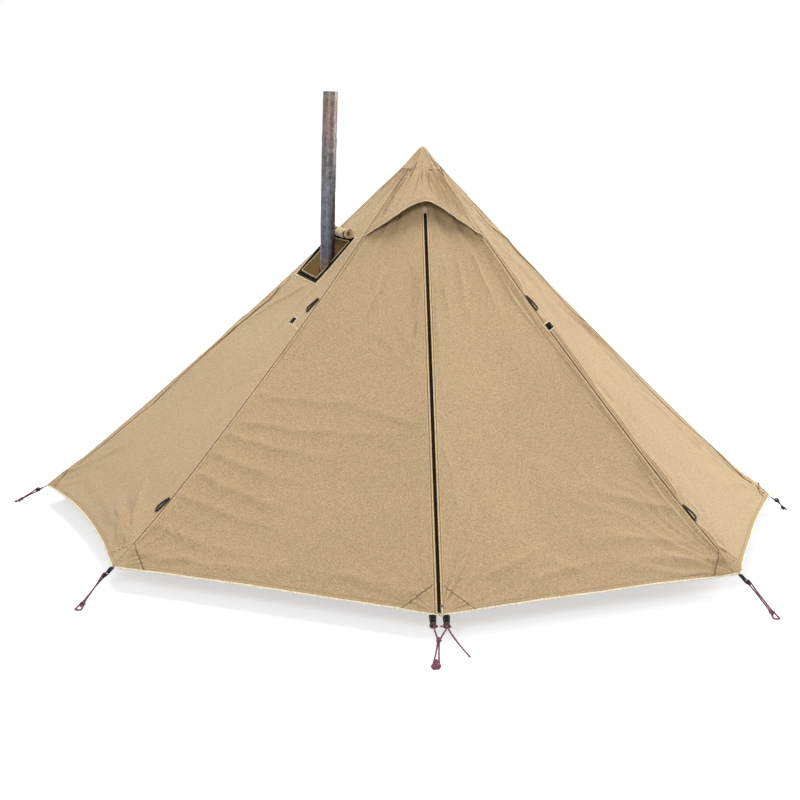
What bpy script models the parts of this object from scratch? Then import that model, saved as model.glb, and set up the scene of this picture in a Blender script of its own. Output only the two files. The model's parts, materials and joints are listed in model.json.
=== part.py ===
# Hot tent: an eight-sided pyramid of cotton canvas round one centre pole, with a
# zipped double door, a hood over the door's head, a stove jack in one side and a
# small wood stove whose pipe leaves through the jack.
# Metres, +Z up, the door's zip on the -Y side, z = 0 on the ground.
import math

import bmesh
import bpy
from mathutils import Matrix, Vector

# Tent body
tent_radius = 1.60
peak_drop = 1.50
corner_lift = 0.085
cloth_thick = 0.0020
gap = 0.0003
rest_room = 0.0009
side_count = 8
ridge_sag = 0.048
ridge_sag_shares = (0.0, 0.80, 0.62, 0.58, 0.58, 0.58, 0.58, 1.0)
panel_belly = 0.012
hem_rise = 0.044
hem_rise_shares = (0.14, 0.32, 0.60, 0.60, 0.60, 0.60, 1.0, 0.14)
sag_reach_share = 0.45
sag_power = 1.5
foot_power = 8
panel_top_share = 0.030
panel_rows = 13
panel_columns = 6

# Peak cap
cap_edge_share = 0.056
cap_mid_share = 0.034
cap_high_share = 0.014
cap_blunt = 0.006

# Hood over the door head
hood_top_share = 0.064
hood_end_share = 0.234
hood_mid_share = 0.147
hood_stand = 0.075
hood_thick = 0.0020
hood_rows = 8
hood_columns = 18

# Doors
door_head_share = 0.262
hinge_lift = 0.0026

# Zip
zip_top_share = 0.178
zip_foot_share = 0.996
zip_width = 0.0150
zip_thick = 0.0016
zip_rows = 14
zip_break_share = 0.001
ridge_raise_share = 1.06
slider_length = 0.018
slider_width = 0.0110
slider_height = 0.0040
slider_round = 0.0012
ear_thick = 0.0020
ear_half_length = 0.0020
ear_rise = 0.0018
bridge_radius = 0.0009
bridge_lift = 0.0026
pull_length = 0.030
pull_width = 0.0080
pull_thick = 0.0012
pull_trim = 0.0010
eye_wall = 0.0012
eye_bite = 0.0005
running = 0.00008
head_tab_size = 0.033
head_tab_thick = 0.0015

# Stove jack in the left front panel
jack_corner_shares = ((0.10, 0.262), (0.745, 0.229), (0.685, 0.355), (0.10, 0.350))
jack_margin = 0.026
jack_thick = 0.0016
jack_cut_depth = 0.010
jack_bore_reach = 0.40
border_width = 0.024
border_thick = 0.0014
border_inset = 0.0008
pipe_room = 0.0005
roll_radius = 0.019
roll_margin = 0.030

# Webbing tabs and cords
tab_width = 0.022
tab_length = 0.047
tab_thick = 0.0024
tab_round = 0.0030
slot_width = 0.013
slot_depth = 0.0075
slot_inset = 0.007
slot_round = 0.0025
tab_dip = -18.0
tab_room = 0.0013
tab_turn_most = 8.0
cord_radius = 0.0024
cord_step = 0.010
cord_spread = 0.0044
cord_slack = 0.0016
cord_crown = 0.0008
cord_lean = 0.0010
cord_tip_room = 0.0030
cord_part = 0.0036
peg_loop_share = 0.75
peg_loop_radius = 0.012
corner_cord_reaches = (0.0, 0.221, 0.116, 0.190, 0.190, 0.190, 0.150, 0.218)
corner_cord_shifts = (0.0, -0.121, 0.096, -0.040, 0.030, 0.040, -0.040, 0.096)
front_cord_reach = 0.250
front_cord_shift = -0.026
front_tab_offset = 0.024
front_tab_width = 0.020
front_tab_room = 0.0048
front_cord_room = 0.0020
front_cord_bow = 0.0040
front_cord_turn = 0.0030
front_knot_share = 0.35
front_knot_spread_share = 0.80

# Door ties on the two side ridges
tie_length = 0.076
tie_radius = 0.0022
tie_step = 0.010
tie_width = 0.018
tie_near = 0.014
tie_left_slants = (0.89, 0.45)
tie_right_slants = (0.975, 0.22)
tie_upper_share = 0.380
tie_lower_share = 0.845
tie_route_shares = ((0.0, 0.0), (0.30, 0.42), (0.70, 0.50), (1.0, 0.0), (0.70, -0.50), (0.30, -0.42))
square_size = 0.030
square_thick = 0.0022
square_share = 0.457
square_left_away = 0.105
square_right_away = 0.020

# Centre pole
pole_radius = 0.0145
pole_wall = 0.0014
upper_radius = 0.0125
slide_room = 0.0004
pole_joint_height = 0.86
pole_overlap = 0.30
foot_radius = 0.034
foot_height = 0.014
foot_spigot = 0.050
foot_edge_inset = 0.004
foot_edge_drop = 0.005
collar_radius = 0.020
collar_height = 0.040
collar_lip = 0.006
tip_height = 0.030
tip_plug = 0.040
tip_shares = ((0.30, 0.120), (0.62, 0.270), (0.86, 0.500), (1.0, 0.760))

# Wood stove
jack_pipe_shares = (0.525, 0.3075)
stove_width = 0.200
stove_depth = 0.380
stove_height = 0.200
stove_floor = 0.140
stove_sheet = 0.0020
box_round = 0.0030
flue_set_back = 0.066
stove_mouth_width = 0.150
stove_mouth_height = 0.130
mouth_middle_share = 0.53
mouth_cut_depth = 0.010
door_overlap = 0.009
door_sheet = 0.0025
door_round = 0.0008
collar_rise = 0.045
socket_wall = 0.0016
flue_lip = 0.004
flue_cut_depth = 0.020
weld_bite = 0.0010
leg_radius = 0.0060
leg_splay = 0.030
leg_inset = 0.045
leg_foot = 0.020
leg_knee = 0.012
leg_shoulder = 0.004
leg_splay_share = 0.80
grate_thick = 0.0030
grate_lift = 0.035
grate_slots = 7
grate_slot_width = 0.010
grate_slot_share = 0.62
grate_slot_depth = 0.020
grate_room = 0.0010
grate_inset = 0.020
grate_margin = 0.050
ledge_width = 0.010
ledge_thick = 0.0040
ledge_inset = 0.030
ledge_bite = 0.0005
hinge_radius = 0.0035
hinge_length = 0.050
hinge_side_room = 0.0006
hinge_back_room = 0.0002
leaf_step = 0.0009
leaf_trim = 0.0004
leaf_reach = 0.0121
leaf_set_in = 0.0011
pin_radius = 0.0016
pin_end = 0.006
lug_half = 0.0030
lug_height = 0.005
latch_length = 0.036
latch_heel = 0.008
latch_inset = 0.014
latch_round_share = 0.48
keeper_width = 0.009
keeper_thick = 0.0020
keeper_height = 0.0040
keeper_bite = 0.0012
keeper_step = 0.0005
keeper_face = 0.0002
latch_width = 0.012
latch_thick = 0.0040
latch_pin_radius = 0.0030
stud_root = 0.0005
stud_end = 0.0035
air_width = 0.070
air_height = 0.022
air_travel = 0.024
air_thick = 0.0016
air_rise = 0.022
air_trim = 0.009
air_rail_share = 0.60
vent_half_width = 0.024
vent_half_height = 0.005
knob_radius = 0.0040
knob_height = 0.010
knob_inset = 0.012
rail_height = 0.0030
rail_wall = 0.0012
rail_end = 0.005
rail_bite = 0.0010
brim_wall = 0.0010
brim_bite = 0.0010
brim_reach = 0.0025
brim_trim = 0.0004

# Flue pipe
pipe_radius = 0.0300
pipe_wall = 0.0009
pipe_top = 1.795
pipe_joint_height = 0.92
pipe_overlap = 0.040
bead_rise = 0.0022
bead_height = 0.005
bead_end = 0.008
bead_inner_end = 0.012
damper_height = 0.62
damper_shaft_radius = 0.0020
damper_thick = 0.0014
damper_room = 0.0012
damper_handle = 0.040
shaft_tail = 0.006
shaft_neck = 0.012
bar_radius_share = 1.2
bore_reach_share = 1.6

ring_steps = 32
small_steps = 20


def clear_scene():
    for item in list(bpy.data.objects):
        bpy.data.objects.remove(item, do_unlink=True)


def make_material(name, colour, roughness, metallic):
    mat = bpy.data.materials.new(name)
    mat.use_nodes = True
    shader = mat.node_tree.nodes["Principled BSDF"]
    shader.inputs["Base Color"].default_value = (*colour, 1.0)
    shader.inputs["Roughness"].default_value = roughness
    shader.inputs["Metallic"].default_value = metallic
    return mat


def cutter_collection():
    found = bpy.data.collections.get("cutters")
    if found is None:
        found = bpy.data.collections.new("cutters")
        bpy.context.scene.collection.children.link(found)
    return found


def add_mesh(name, bm, look):
    bm.normal_update()
    mesh = bpy.data.meshes.new(name)
    bm.to_mesh(mesh)
    bm.free()
    obj = bpy.data.objects.new(name, mesh)
    bpy.context.scene.collection.objects.link(obj)
    if look is not None:
        mesh.materials.append(look)
    return obj


def solidify(obj, thick):
    mod = obj.modifiers.new("thickness", "SOLIDIFY")
    mod.thickness = thick
    mod.offset = 1.0
    mod.use_even_offset = False
    mod.use_rim = True
    return mod


def bevel(obj, width, segments):
    mod = obj.modifiers.new("edges", "BEVEL")
    mod.width = width
    mod.segments = segments
    mod.limit_method = "ANGLE"
    mod.angle_limit = math.radians(40.0)
    return mod


def as_cutter(obj):
    for coll in list(obj.users_collection):
        coll.objects.unlink(obj)
    cutter_collection().objects.link(obj)
    obj.hide_render = True
    obj.display_type = "WIRE"
    return obj


def cut(obj, cutter, operation="DIFFERENCE"):
    mod = obj.modifiers.new("cut_" + cutter.name, "BOOLEAN")
    mod.operation = operation
    mod.solver = "EXACT"
    mod.object = cutter
    as_cutter(cutter)
    return mod


def box(name, low, high, look):
    bm = bmesh.new()
    bmesh.ops.create_cube(bm, size=1.0)
    centre = [(a + b) / 2 for a, b in zip(low, high)]
    span = [b - a for a, b in zip(low, high)]
    bmesh.ops.scale(bm, vec=Vector(span), verts=bm.verts)
    bmesh.ops.translate(bm, vec=Vector(centre), verts=bm.verts)
    return add_mesh(name, bm, look)


def turned(name, profile, steps, look, base=(0.0, 0.0, 0.0), tilt=None):
    """A closed or axis-ending profile of (radius, height) pairs, turned about Z."""
    bm = bmesh.new()
    verts = [bm.verts.new((radius, 0.0, height)) for radius, height in profile]
    on_axis = profile[0][0] == 0.0 and profile[-1][0] == 0.0
    for one, two in zip(verts, verts[1:]):
        bm.edges.new((one, two))
    if not on_axis:
        bm.edges.new((verts[-1], verts[0]))
    obj = add_mesh(name, bm, look)
    mod = obj.modifiers.new("turn", "SCREW")
    mod.axis = "Z"
    mod.steps = steps
    mod.render_steps = steps
    mod.use_merge_vertices = True
    mod.merge_threshold = 0.00001
    place = Matrix.Translation(Vector(base))
    if tilt is not None:
        place = place @ tilt
    obj.matrix_world = place
    return obj


def tube_profile(outer, inner, low, high):
    return ((outer, high), (outer, low), (inner, low), (inner, high))


def rod_profile(radius, low, high):
    return ((0.0, high), (radius, high), (radius, low), (0.0, low))


def strand(name, points, radius, look, closed=False):
    data = bpy.data.curves.new(name, "CURVE")
    data.dimensions = "3D"
    data.bevel_depth = radius
    data.bevel_resolution = 2
    data.use_fill_caps = not closed
    spline = data.splines.new("POLY")
    spline.points.add(len(points) - 1)
    for slot, point in zip(spline.points, points):
        slot.co = (*point, 1.0)
    spline.use_cyclic_u = closed
    obj = bpy.data.objects.new(name, data)
    bpy.context.scene.collection.objects.link(obj)
    data.materials.append(look)
    return obj


def outline_plate(name, outlines, half_thick, look, place):
    """A flat plate from closed outlines, the second and later ones being holes."""
    data = bpy.data.curves.new(name, "CURVE")
    data.dimensions = "2D"
    data.fill_mode = "BOTH"
    data.extrude = half_thick
    for outline in outlines:
        spline = data.splines.new("POLY")
        spline.points.add(len(outline) - 1)
        for slot, point in zip(spline.points, outline):
            slot.co = (point[0], point[1], 0.0, 1.0)
        spline.use_cyclic_u = True
    obj = bpy.data.objects.new(name, data)
    bpy.context.scene.collection.objects.link(obj)
    data.materials.append(look)
    obj.matrix_world = place
    return obj


def as_solid(obj):
    """The object's finished shape as a plain mesh in world space, welded."""
    bpy.context.view_layer.update()
    graph = bpy.context.evaluated_depsgraph_get()
    mesh = bpy.data.meshes.new_from_object(obj.evaluated_get(graph))
    mesh.transform(obj.matrix_world)
    bm = bmesh.new()
    bm.from_mesh(mesh)
    bmesh.ops.remove_doubles(bm, verts=bm.verts, dist=0.00001)
    bmesh.ops.recalc_face_normals(bm, faces=bm.faces)
    bm.to_mesh(mesh)
    bm.free()
    solid = bpy.data.objects.new(obj.name + "_solid", mesh)
    bpy.context.scene.collection.objects.link(solid)
    name = obj.name
    bpy.data.objects.remove(obj, do_unlink=True)
    solid.name = name
    return solid


def rounded(width, depth, radius, centre=(0.0, 0.0), arc=3):
    """A rounded rectangle outline, counter-clockwise."""
    half_w = width / 2 - radius
    half_d = depth / 2 - radius
    points = []
    corners = ((half_w, half_d), (-half_w, half_d), (-half_w, -half_d), (half_w, -half_d))
    for index, corner in enumerate(corners):
        for step in range(arc + 1):
            angle = math.radians(90.0 * (index + step / arc))
            x = centre[0] + corner[0] + radius * math.cos(angle)
            y = centre[1] + corner[1] + radius * math.sin(angle)
            points.append((x, y))
    return points


# The cloth surface.  Ridge k runs from the peak down to corner k; the door zip is
# ridge 0 on the -Y side and the ridges count anticlockwise seen from above.
apex = Vector((0.0, 0.0, corner_lift + peak_drop))
ridge_length = math.hypot(tent_radius, peak_drop)
side_length = 2 * tent_radius * math.sin(math.pi / side_count)
sag_in = peak_drop / ridge_length
sag_down = tent_radius / ridge_length


def heading(k):
    angle = -math.pi / 2 + 2 * math.pi * (k % side_count) / side_count
    return Vector((math.cos(angle), math.sin(angle), 0.0))


def sag_at(k, t):
    rise = math.sin(math.pi / 2 * min(t / sag_reach_share, 1.0)) ** sag_power
    settle = 1.0 - min(t, 1.0) ** foot_power
    return ridge_sag * ridge_sag_shares[k % side_count] * rise * settle


def ridge_point(k, t):
    sag = sag_at(k, t)
    out = tent_radius * t - sag * sag_in
    return heading(k) * out + Vector((0.0, 0.0, apex.z - peak_drop * t - sag * sag_down))


def flat_normal(k):
    one = heading(k) * tent_radius - Vector((0.0, 0.0, peak_drop))
    two = heading(k + 1) * tent_radius - Vector((0.0, 0.0, peak_drop))
    normal = one.cross(two).normalized()
    return normal if normal.z > 0 else -normal


def cloth_point(k, u, t):
    """Panel k, u from ridge k to ridge k + 1, t down the slope from the peak."""
    base = ridge_point(k, t).lerp(ridge_point(k + 1, t), u)
    belly = panel_belly * 4 * u * (1 - u) * math.sin(math.pi * min(t, 1.0))
    return base - flat_normal(k) * belly


def cloth_normal(k, u, t):
    step = 0.004
    across = cloth_point(k, min(u + step, 1.0), t) - cloth_point(k, max(u - step, 0.0), t)
    down = cloth_point(k, u, t + step) - cloth_point(k, u, t - step)
    normal = across.cross(down).normalized()
    return normal if normal.dot(flat_normal(k)) > 0 else -normal


def lifted(k, u, t, lift):
    return cloth_point(k, u, t) + cloth_normal(k, u, t) * lift


def inset(t, room):
    return room / (max(t, 0.001) * side_length)


def hem_share(k, u):
    rise = hem_rise * hem_rise_shares[k % side_count]
    return 1.0 - rise / ridge_length * 4 * u * (1 - u)


def hinge_axis(k):
    """A point on the door's hinge line at its foot, and its unit direction uphill."""
    radial = heading(k)
    out = radial * sag_in + Vector((0.0, 0.0, sag_down))
    foot = ridge_point(k, 1.0) + out * hinge_lift
    head = ridge_point(k, door_head_share) + out * hinge_lift
    return foot, (head - foot).normalized(), head


def door_cut(k, hinge, u, room):
    """The share where panel k crosses the plane square to the hinge at its head."""
    foot, uphill, head = hinge_axis(hinge)
    low, high = 0.1, 0.7
    for _ in range(40):
        mid = (low + high) / 2
        if (cloth_point(k, u, mid) - head).dot(uphill) > room:
            low = mid
        else:
            high = mid
    return (low + high) / 2


def grid(name, rows, columns, place, look):
    """An open surface from a unit grid, each point moved to place(across, down)."""
    bm = bmesh.new()
    bmesh.ops.create_grid(bm, x_segments=columns, y_segments=rows, size=0.5)
    for vert in bm.verts:
        vert.co = place(vert.co.x + 0.5, 0.5 - vert.co.y)
    bmesh.ops.recalc_face_normals(bm, faces=bm.faces)
    return add_mesh(name, bm, look)


def face_out(obj, centre):
    """Turns the surface's normals away from the given inner point."""
    bm = bmesh.new()
    bm.from_mesh(obj.data)
    bm.faces.ensure_lookup_table()
    total = sum((face.normal.dot(face.calc_center_median() - centre) for face in bm.faces))
    if total < 0:
        bmesh.ops.reverse_faces(bm, faces=bm.faces)
    bm.to_mesh(obj.data)
    bm.free()
    return obj


inner_point = Vector((0.0, 0.0, corner_lift))
flue_x, flue_y, flue_exit = cloth_point(6, *jack_pipe_shares)


def cloth_panel(name, k, top, foot, look):
    def place(across, down):
        start = top(across)
        end = foot(across)
        t = start + (end - start) * down
        edge = inset(t, gap / 2)
        u = edge + (1 - 2 * edge) * across
        return cloth_point(k, u, t)

    obj = grid(name, panel_rows, panel_columns, place, look)
    face_out(obj, inner_point)
    solidify(obj, cloth_thick)
    return obj


def build_panels(canvas, canvas_side):
    def plain_top(across):
        return panel_top_share

    names = {
        1: "panel_right_front",
        2: "panel_right_rear",
        3: "panel_rear_right",
        4: "panel_rear_left",
        5: "panel_left_rear",
        6: "panel_left_front",
    }
    made = {}
    for k, name in names.items():
        made[k] = cloth_panel(name, k, plain_top, lambda u, k=k: hem_share(k, u), canvas_side)
    made[7] = cloth_panel(
        "yoke_left", 7, plain_top, lambda u: door_cut(7, 7, u, gap / 2), canvas
    )
    made[0] = cloth_panel(
        "yoke_right", 0, plain_top, lambda u: door_cut(0, 1, u, gap / 2), canvas
    )
    cloth_panel(
        "door_left", 7, lambda u: door_cut(7, 7, u, -gap / 2), lambda u: hem_share(7, u), canvas
    )
    cloth_panel(
        "door_right", 0, lambda u: door_cut(0, 1, u, -gap / 2), lambda u: hem_share(0, u), canvas
    )
    return made


def build_peak_cap(look):
    lift = (cloth_thick + gap) * 1.08
    bm = bmesh.new()
    rings = []
    for share in (cap_edge_share, cap_mid_share, cap_high_share):
        ring = []
        for k in range(side_count):
            for u in (0.0, 0.5):
                if u == 0.0:
                    out = heading(k) * sag_in + Vector((0.0, 0.0, sag_down))
                    spot = ridge_point(k, share) + out * lift
                else:
                    spot = cloth_point(k, u, share) + flat_normal(k) * lift
                ring.append(bm.verts.new(spot))
        rings.append(ring)
    top = bm.verts.new(apex - Vector((0.0, 0.0, cap_blunt)))
    for outer, inner in zip(rings, rings[1:]):
        for index in range(len(outer)):
            after = (index + 1) % len(outer)
            bm.faces.new((outer[index], outer[after], inner[after], inner[index]))
    last = rings[-1]
    for index in range(len(last)):
        bm.faces.new((last[index], last[(index + 1) % len(last)], top))
    obj = add_mesh("peak_cap", bm, look)
    face_out(obj, inner_point)
    solidify(obj, cloth_thick)
    return obj


def hood_spot(across, down):
    w = 2 * across - 1
    k = 7 if w < 0 else 0
    u = 1 + w if w < 0 else w
    end = hood_mid_share + (hood_end_share - hood_mid_share) * w * w
    t = hood_top_share + (end - hood_top_share) * down
    edge = inset(t, gap)
    if k == 7:
        u = max(u, edge)
    else:
        u = min(u, 1 - edge)
    spot = cloth_point(k, u, t)
    out = heading(0) * sag_in + Vector((0.0, 0.0, sag_down))
    normal = cloth_normal(k, u, t).lerp(out, 1 - abs(w))
    lift = (cloth_thick + rest_room) * 1.12
    stand = hood_stand * (1 - abs(w) ** 2.2) * down**1.4
    return spot + normal * lift + heading(0) * stand


def build_hood(look):
    obj = grid("hood", hood_rows, hood_columns, hood_spot, look)
    face_out(obj, inner_point)
    solidify(obj, hood_thick)
    return obj


def zip_strip(name, sides, top, foot, lift, look):
    """A strip along the zip ridge, on one side of it or folded over both."""

    def place(across, down):
        t = top + (foot - top) * down
        if sides == "both":
            away = zip_width * (2 * across - 1)
        elif sides == "left":
            away = -gap / 2 - (zip_width - gap / 2) * (1 - across)
        else:
            away = gap / 2 + (zip_width - gap / 2) * across
        k = 7 if away < 0 else 0
        share = abs(away) / (t * side_length)
        u = 1 - share if k == 7 else share
        normal = flat_normal(k)
        if abs(away) < gap:
            normal = heading(0) * sag_in + Vector((0.0, 0.0, sag_down))
        raise_by = lift * (ridge_raise_share if abs(away) < gap else 1.0)
        return cloth_point(k, u, t) + normal * raise_by

    columns = 4 if sides == "both" else 2
    obj = grid(name, zip_rows, columns, place, look)
    face_out(obj, inner_point)
    solidify(obj, zip_thick)
    return obj


def build_zip(tape, metal, cloth):
    lift = cloth_thick + rest_room
    head = door_cut(7, 7, 1.0, 0.0)
    zip_strip("zip_left", "left", head + zip_break_share, zip_foot_share, lift, tape)
    zip_strip("zip_right", "right", head + zip_break_share, zip_foot_share, lift, tape)
    zip_strip("zip_upper", "both", zip_top_share, head - 2 * zip_break_share, lift, tape)

    # The slider rides on the right half of the chain.
    over = lift + zip_thick + gap
    foot = zip_foot_share - slider_length / ridge_length
    along = (ridge_point(0, 0.0) - ridge_point(0, 1.0)).normalized()
    z = flat_normal(0)
    x = along.cross(z).normalized()
    if x.x < 0:
        x = -x
    origin = ridge_point(0, foot) + x * (gap + slider_width / 2) + z * over
    place = Matrix((x, along, z)).transposed().to_4x4()
    place.translation = origin
    body = box(
        "zip_slider",
        (-slider_width / 2, -slider_length / 2, 0.0),
        (slider_width / 2, slider_length / 2, slider_height),
        metal,
    )
    body.matrix_world = place
    bevel(body, slider_round, 2)
    bridge_z = slider_height + bridge_lift
    ear = box(
        "ear_left",
        (-slider_width / 2, -ear_half_length, slider_height / 2),
        (-slider_width / 2 + ear_thick, ear_half_length, bridge_z + ear_rise),
        None,
    )
    other = box(
        "ear_right",
        (slider_width / 2 - ear_thick, -ear_half_length, slider_height / 2),
        (slider_width / 2, ear_half_length, bridge_z + ear_rise),
        None,
    )
    rod_half = (slider_width - ear_thick) / 2
    rod = turned(
        "bridge_rod",
        rod_profile(bridge_radius, -rod_half, rod_half),
        16,
        None,
        tilt=Matrix.Rotation(math.pi / 2, 4, "Y"),
    )
    rod.matrix_world = place @ Matrix.Translation((0, 0, bridge_z)) @ rod.matrix_world
    for piece in (ear, other):
        piece.matrix_world = place
    for piece in (ear, other, rod):
        cut(body, piece, "UNION")

    # The pull hangs from the bridge by a short eye.
    eye_half = slider_width / 2 - ear_thick - gap
    bore = bridge_radius + running
    eye = turned(
        "zip_pull",
        tube_profile(bore + eye_wall, bore, -eye_half, eye_half),
        16,
        cloth,
        tilt=Matrix.Rotation(math.pi / 2, 4, "Y"),
    )
    eye.matrix_world = place @ Matrix.Translation((0, 0, bridge_z)) @ eye.matrix_world
    tag = box(
        "pull_tag",
        (-pull_width / 2 + pull_trim, -pull_length, -pull_thick / 2),
        (pull_width / 2 - pull_trim, -bore - eye_bite, pull_thick / 2),
        None,
    )
    tag.matrix_world = place @ Matrix.Translation((0, 0, bridge_z))
    cut(eye, tag, "UNION")

    # A small cloth tab is sewn over the zip's upper end.
    t_tab = zip_top_share - head_tab_size / 2 / ridge_length - 2 * zip_break_share

    def tab_spot(across, down):
        t = t_tab + head_tab_size / ridge_length * (down - 0.5)
        away = head_tab_size * (across - 0.5)
        k = 7 if away < 0 else 0
        share = abs(away) / (t * side_length)
        u = 1 - share if k == 7 else share
        normal = flat_normal(k)
        raise_by = cloth_thick + rest_room
        if abs(away) < gap:
            normal = heading(0) * sag_in + Vector((0.0, 0.0, sag_down))
            raise_by = raise_by * ridge_raise_share
        return cloth_point(k, u, t) + normal * raise_by

    tab = grid("zip_head_tab", 2, 4, tab_spot, cloth)
    face_out(tab, inner_point)
    solidify(tab, head_tab_thick)


def jack_spot(a, b, grow=0.0):
    """A point of the jack's four-sided field in (u, t); a across, b down."""
    top_left, top_right, low_right, low_left = [Vector(pair) for pair in jack_corner_shares]
    u, t = top_left.lerp(top_right, a).lerp(low_left.lerp(low_right, a), b)
    return u + grow * (2 * a - 1) / (t * side_length), t + grow * (2 * b - 1) / ridge_length


def build_jack(panel, heat_cloth, border_look, flap_look):
    def hole(across, down):
        u, t = jack_spot(across, down, -jack_margin)
        return lifted(6, u, t, -jack_cut_depth)

    cutter = grid("jack_hole", 4, 4, hole, None)
    face_out(cutter, inner_point)
    solidify(cutter, 3 * jack_cut_depth)
    cut(panel, cutter)

    lift = cloth_thick + rest_room

    def field(across, down):
        u, t = jack_spot(across, down)
        return lifted(6, u, t, lift)

    sheet = grid("jack_panel", 8, 8, field, heat_cloth)
    face_out(sheet, inner_point)
    solidify(sheet, jack_thick)
    bore = turned(
        "pipe_hole",
        rod_profile(pipe_radius + pipe_room, flue_exit - jack_bore_reach, flue_exit + jack_bore_reach),
        ring_steps,
        None,
        base=(flue_x, flue_y, 0.0),
    )
    cut(sheet, bore)

    # The border is a closed band round the field.
    bm = bmesh.new()
    per_side = 8
    total = per_side * 4
    rings = []
    for grow in (0.0, border_width):
        ring = []
        for index in range(total):
            side, step = divmod(index, per_side)
            s = step / per_side
            a, b = ((s, 0.0), (1.0, s), (1 - s, 1.0), (0.0, 1 - s))[side]
            u, t = jack_spot(a, b, -grow - border_inset)
            ring.append(bm.verts.new(lifted(6, u, t, lift + jack_thick + rest_room)))
        rings.append(ring)
    for index in range(total):
        after = (index + 1) % total
        bm.faces.new((rings[0][index], rings[0][after], rings[1][after], rings[1][index]))
    band = add_mesh("jack_border", bm, border_look)
    face_out(band, inner_point)
    solidify(band, border_thick)

    # The weather flap is rolled up above the field.
    spots = []
    count = 9
    high = roll_radius + cloth_thick + rest_room
    for index in range(count):
        a = index / (count - 1)
        u, t = jack_spot(a, 0.0, 0.0)
        t = t - roll_margin / ridge_length
        spots.append(lifted(6, u, t, high))
    strand("jack_flap", spots, roll_radius, flap_look)


def tab_outline(width, length):
    outer = rounded(width, length, tab_round, (0.0, -length / 2))
    slot_y = -length + slot_inset + slot_depth / 2
    hole = rounded(slot_width, slot_depth, slot_round, (0.0, slot_y))
    return (outer, hole), slot_y


def tab_frame(corner, radial, dip):
    """A frame at a tab's root: -y runs outward and down along the tab."""
    angle = math.atan2(peak_drop, tent_radius) + math.radians(dip)
    along = radial * math.cos(angle) - Vector((0.0, 0.0, math.sin(angle)))
    up = -along
    side = Vector((-radial.y, radial.x, 0.0))
    z = side.cross(up).normalized()
    place = Matrix((side, up, z)).transposed().to_4x4()
    place.translation = corner
    return place


def smooth_path(points, step, closed):
    """Points at even steps along a Catmull-Rom route through the given ones."""
    points = [Vector(p) for p in points]
    count = len(points)
    spans = count if closed else count - 1
    dense = []
    for index in range(spans):
        if closed:
            p0, p1, p2, p3 = [points[(index + off) % count] for off in (-1, 0, 1, 2)]
        else:
            p0 = points[max(index - 1, 0)]
            p1 = points[index]
            p2 = points[index + 1]
            p3 = points[min(index + 2, count - 1)]
        for part in range(24):
            s = part / 24
            spot = 0.5 * (
                2 * p1
                + (p2 - p0) * s
                + (2 * p0 - 5 * p1 + 4 * p2 - p3) * s * s
                + (3 * p1 - p0 - 3 * p2 + p3) * s * s * s
            )
            dense.append(spot)
    if not closed:
        dense.append(points[-1])
    ring = dense + ([dense[0]] if closed else [])
    lengths = [0.0]
    for one, two in zip(ring, ring[1:]):
        lengths.append(lengths[-1] + (two - one).length)
    total = lengths[-1]
    steps = max(int(round(total / step)), 8)
    result = []
    at = 0
    for index in range(steps if closed else steps + 1):
        want = total * index / steps
        while at < len(lengths) - 2 and lengths[at + 1] < want:
            at += 1
        span = lengths[at + 1] - lengths[at]
        share = 0.0 if span == 0 else (want - lengths[at]) / span
        result.append(ring[at].lerp(ring[at + 1], share))
    return result


def build_corner_tie(k, name, webbing, cord_look):
    radial = heading(k)
    reach = corner_cord_reaches[k]
    shift = corner_cord_shifts[k]
    most = math.radians(tab_turn_most)
    turn = max(-most, min(most, math.atan2(shift, reach)))
    pull = Matrix.Rotation(turn, 3, "Z") @ radial
    corner = ridge_point(k, 1.0) + pull * tab_room
    place = tab_frame(corner, pull, tab_dip)
    outlines, slot_y = tab_outline(tab_width, tab_length)
    tab = outline_plate("tab_" + name, outlines, tab_thick / 2, webbing, place)
    as_solid(tab)

    # The cord is one closed loop through the tab's slot, its far end a peg loop.
    low = cord_radius + gap
    slot = place @ Vector((0.0, slot_y, 0.0))
    far = ridge_point(k, 1.0) + radial * reach + Vector((-radial.y, radial.x, 0.0)) * shift
    far.z = low
    ahead = Vector((far.x - slot.x, far.y - slot.y, 0.0)).normalized()
    side = Vector((-ahead.y, ahead.x, 0.0))
    bend = tab_thick / 2 + cord_radius + cord_slack
    tip_y = -tab_length - cord_radius - cord_tip_room
    over = place @ Vector((0.0, slot_y - cord_lean, bend + cord_crown))
    under = place @ Vector((0.0, slot_y - cord_lean, -bend - cord_crown))
    tip_over = place @ Vector((0.0, tip_y, bend))
    tip_under = place @ Vector((0.0, tip_y, -bend))
    back = far - ahead * peg_loop_radius
    start = (tip_over + tip_under) / 2
    points = [slot, over, tip_over]
    for share in (0.25, 0.50, 0.75):
        spot = start.lerp(back, share)
        points.append(spot + side * cord_spread * share + Vector((0, 0, cord_part * (1 - share))))
    points.append(back + side * peg_loop_radius * peg_loop_share)
    points.append(far)
    points.append(back - side * peg_loop_radius * peg_loop_share)
    for share in (0.75, 0.50, 0.25):
        spot = start.lerp(back, share)
        points.append(spot - side * cord_spread * share - Vector((0, 0, cord_part * (1 - share))))
    points += [tip_under, under]
    route = smooth_path(points, cord_step, True)
    for spot in route:
        spot.z = max(spot.z, low)
    strand("cord_" + name, route, cord_radius, cord_look, closed=True)


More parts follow.
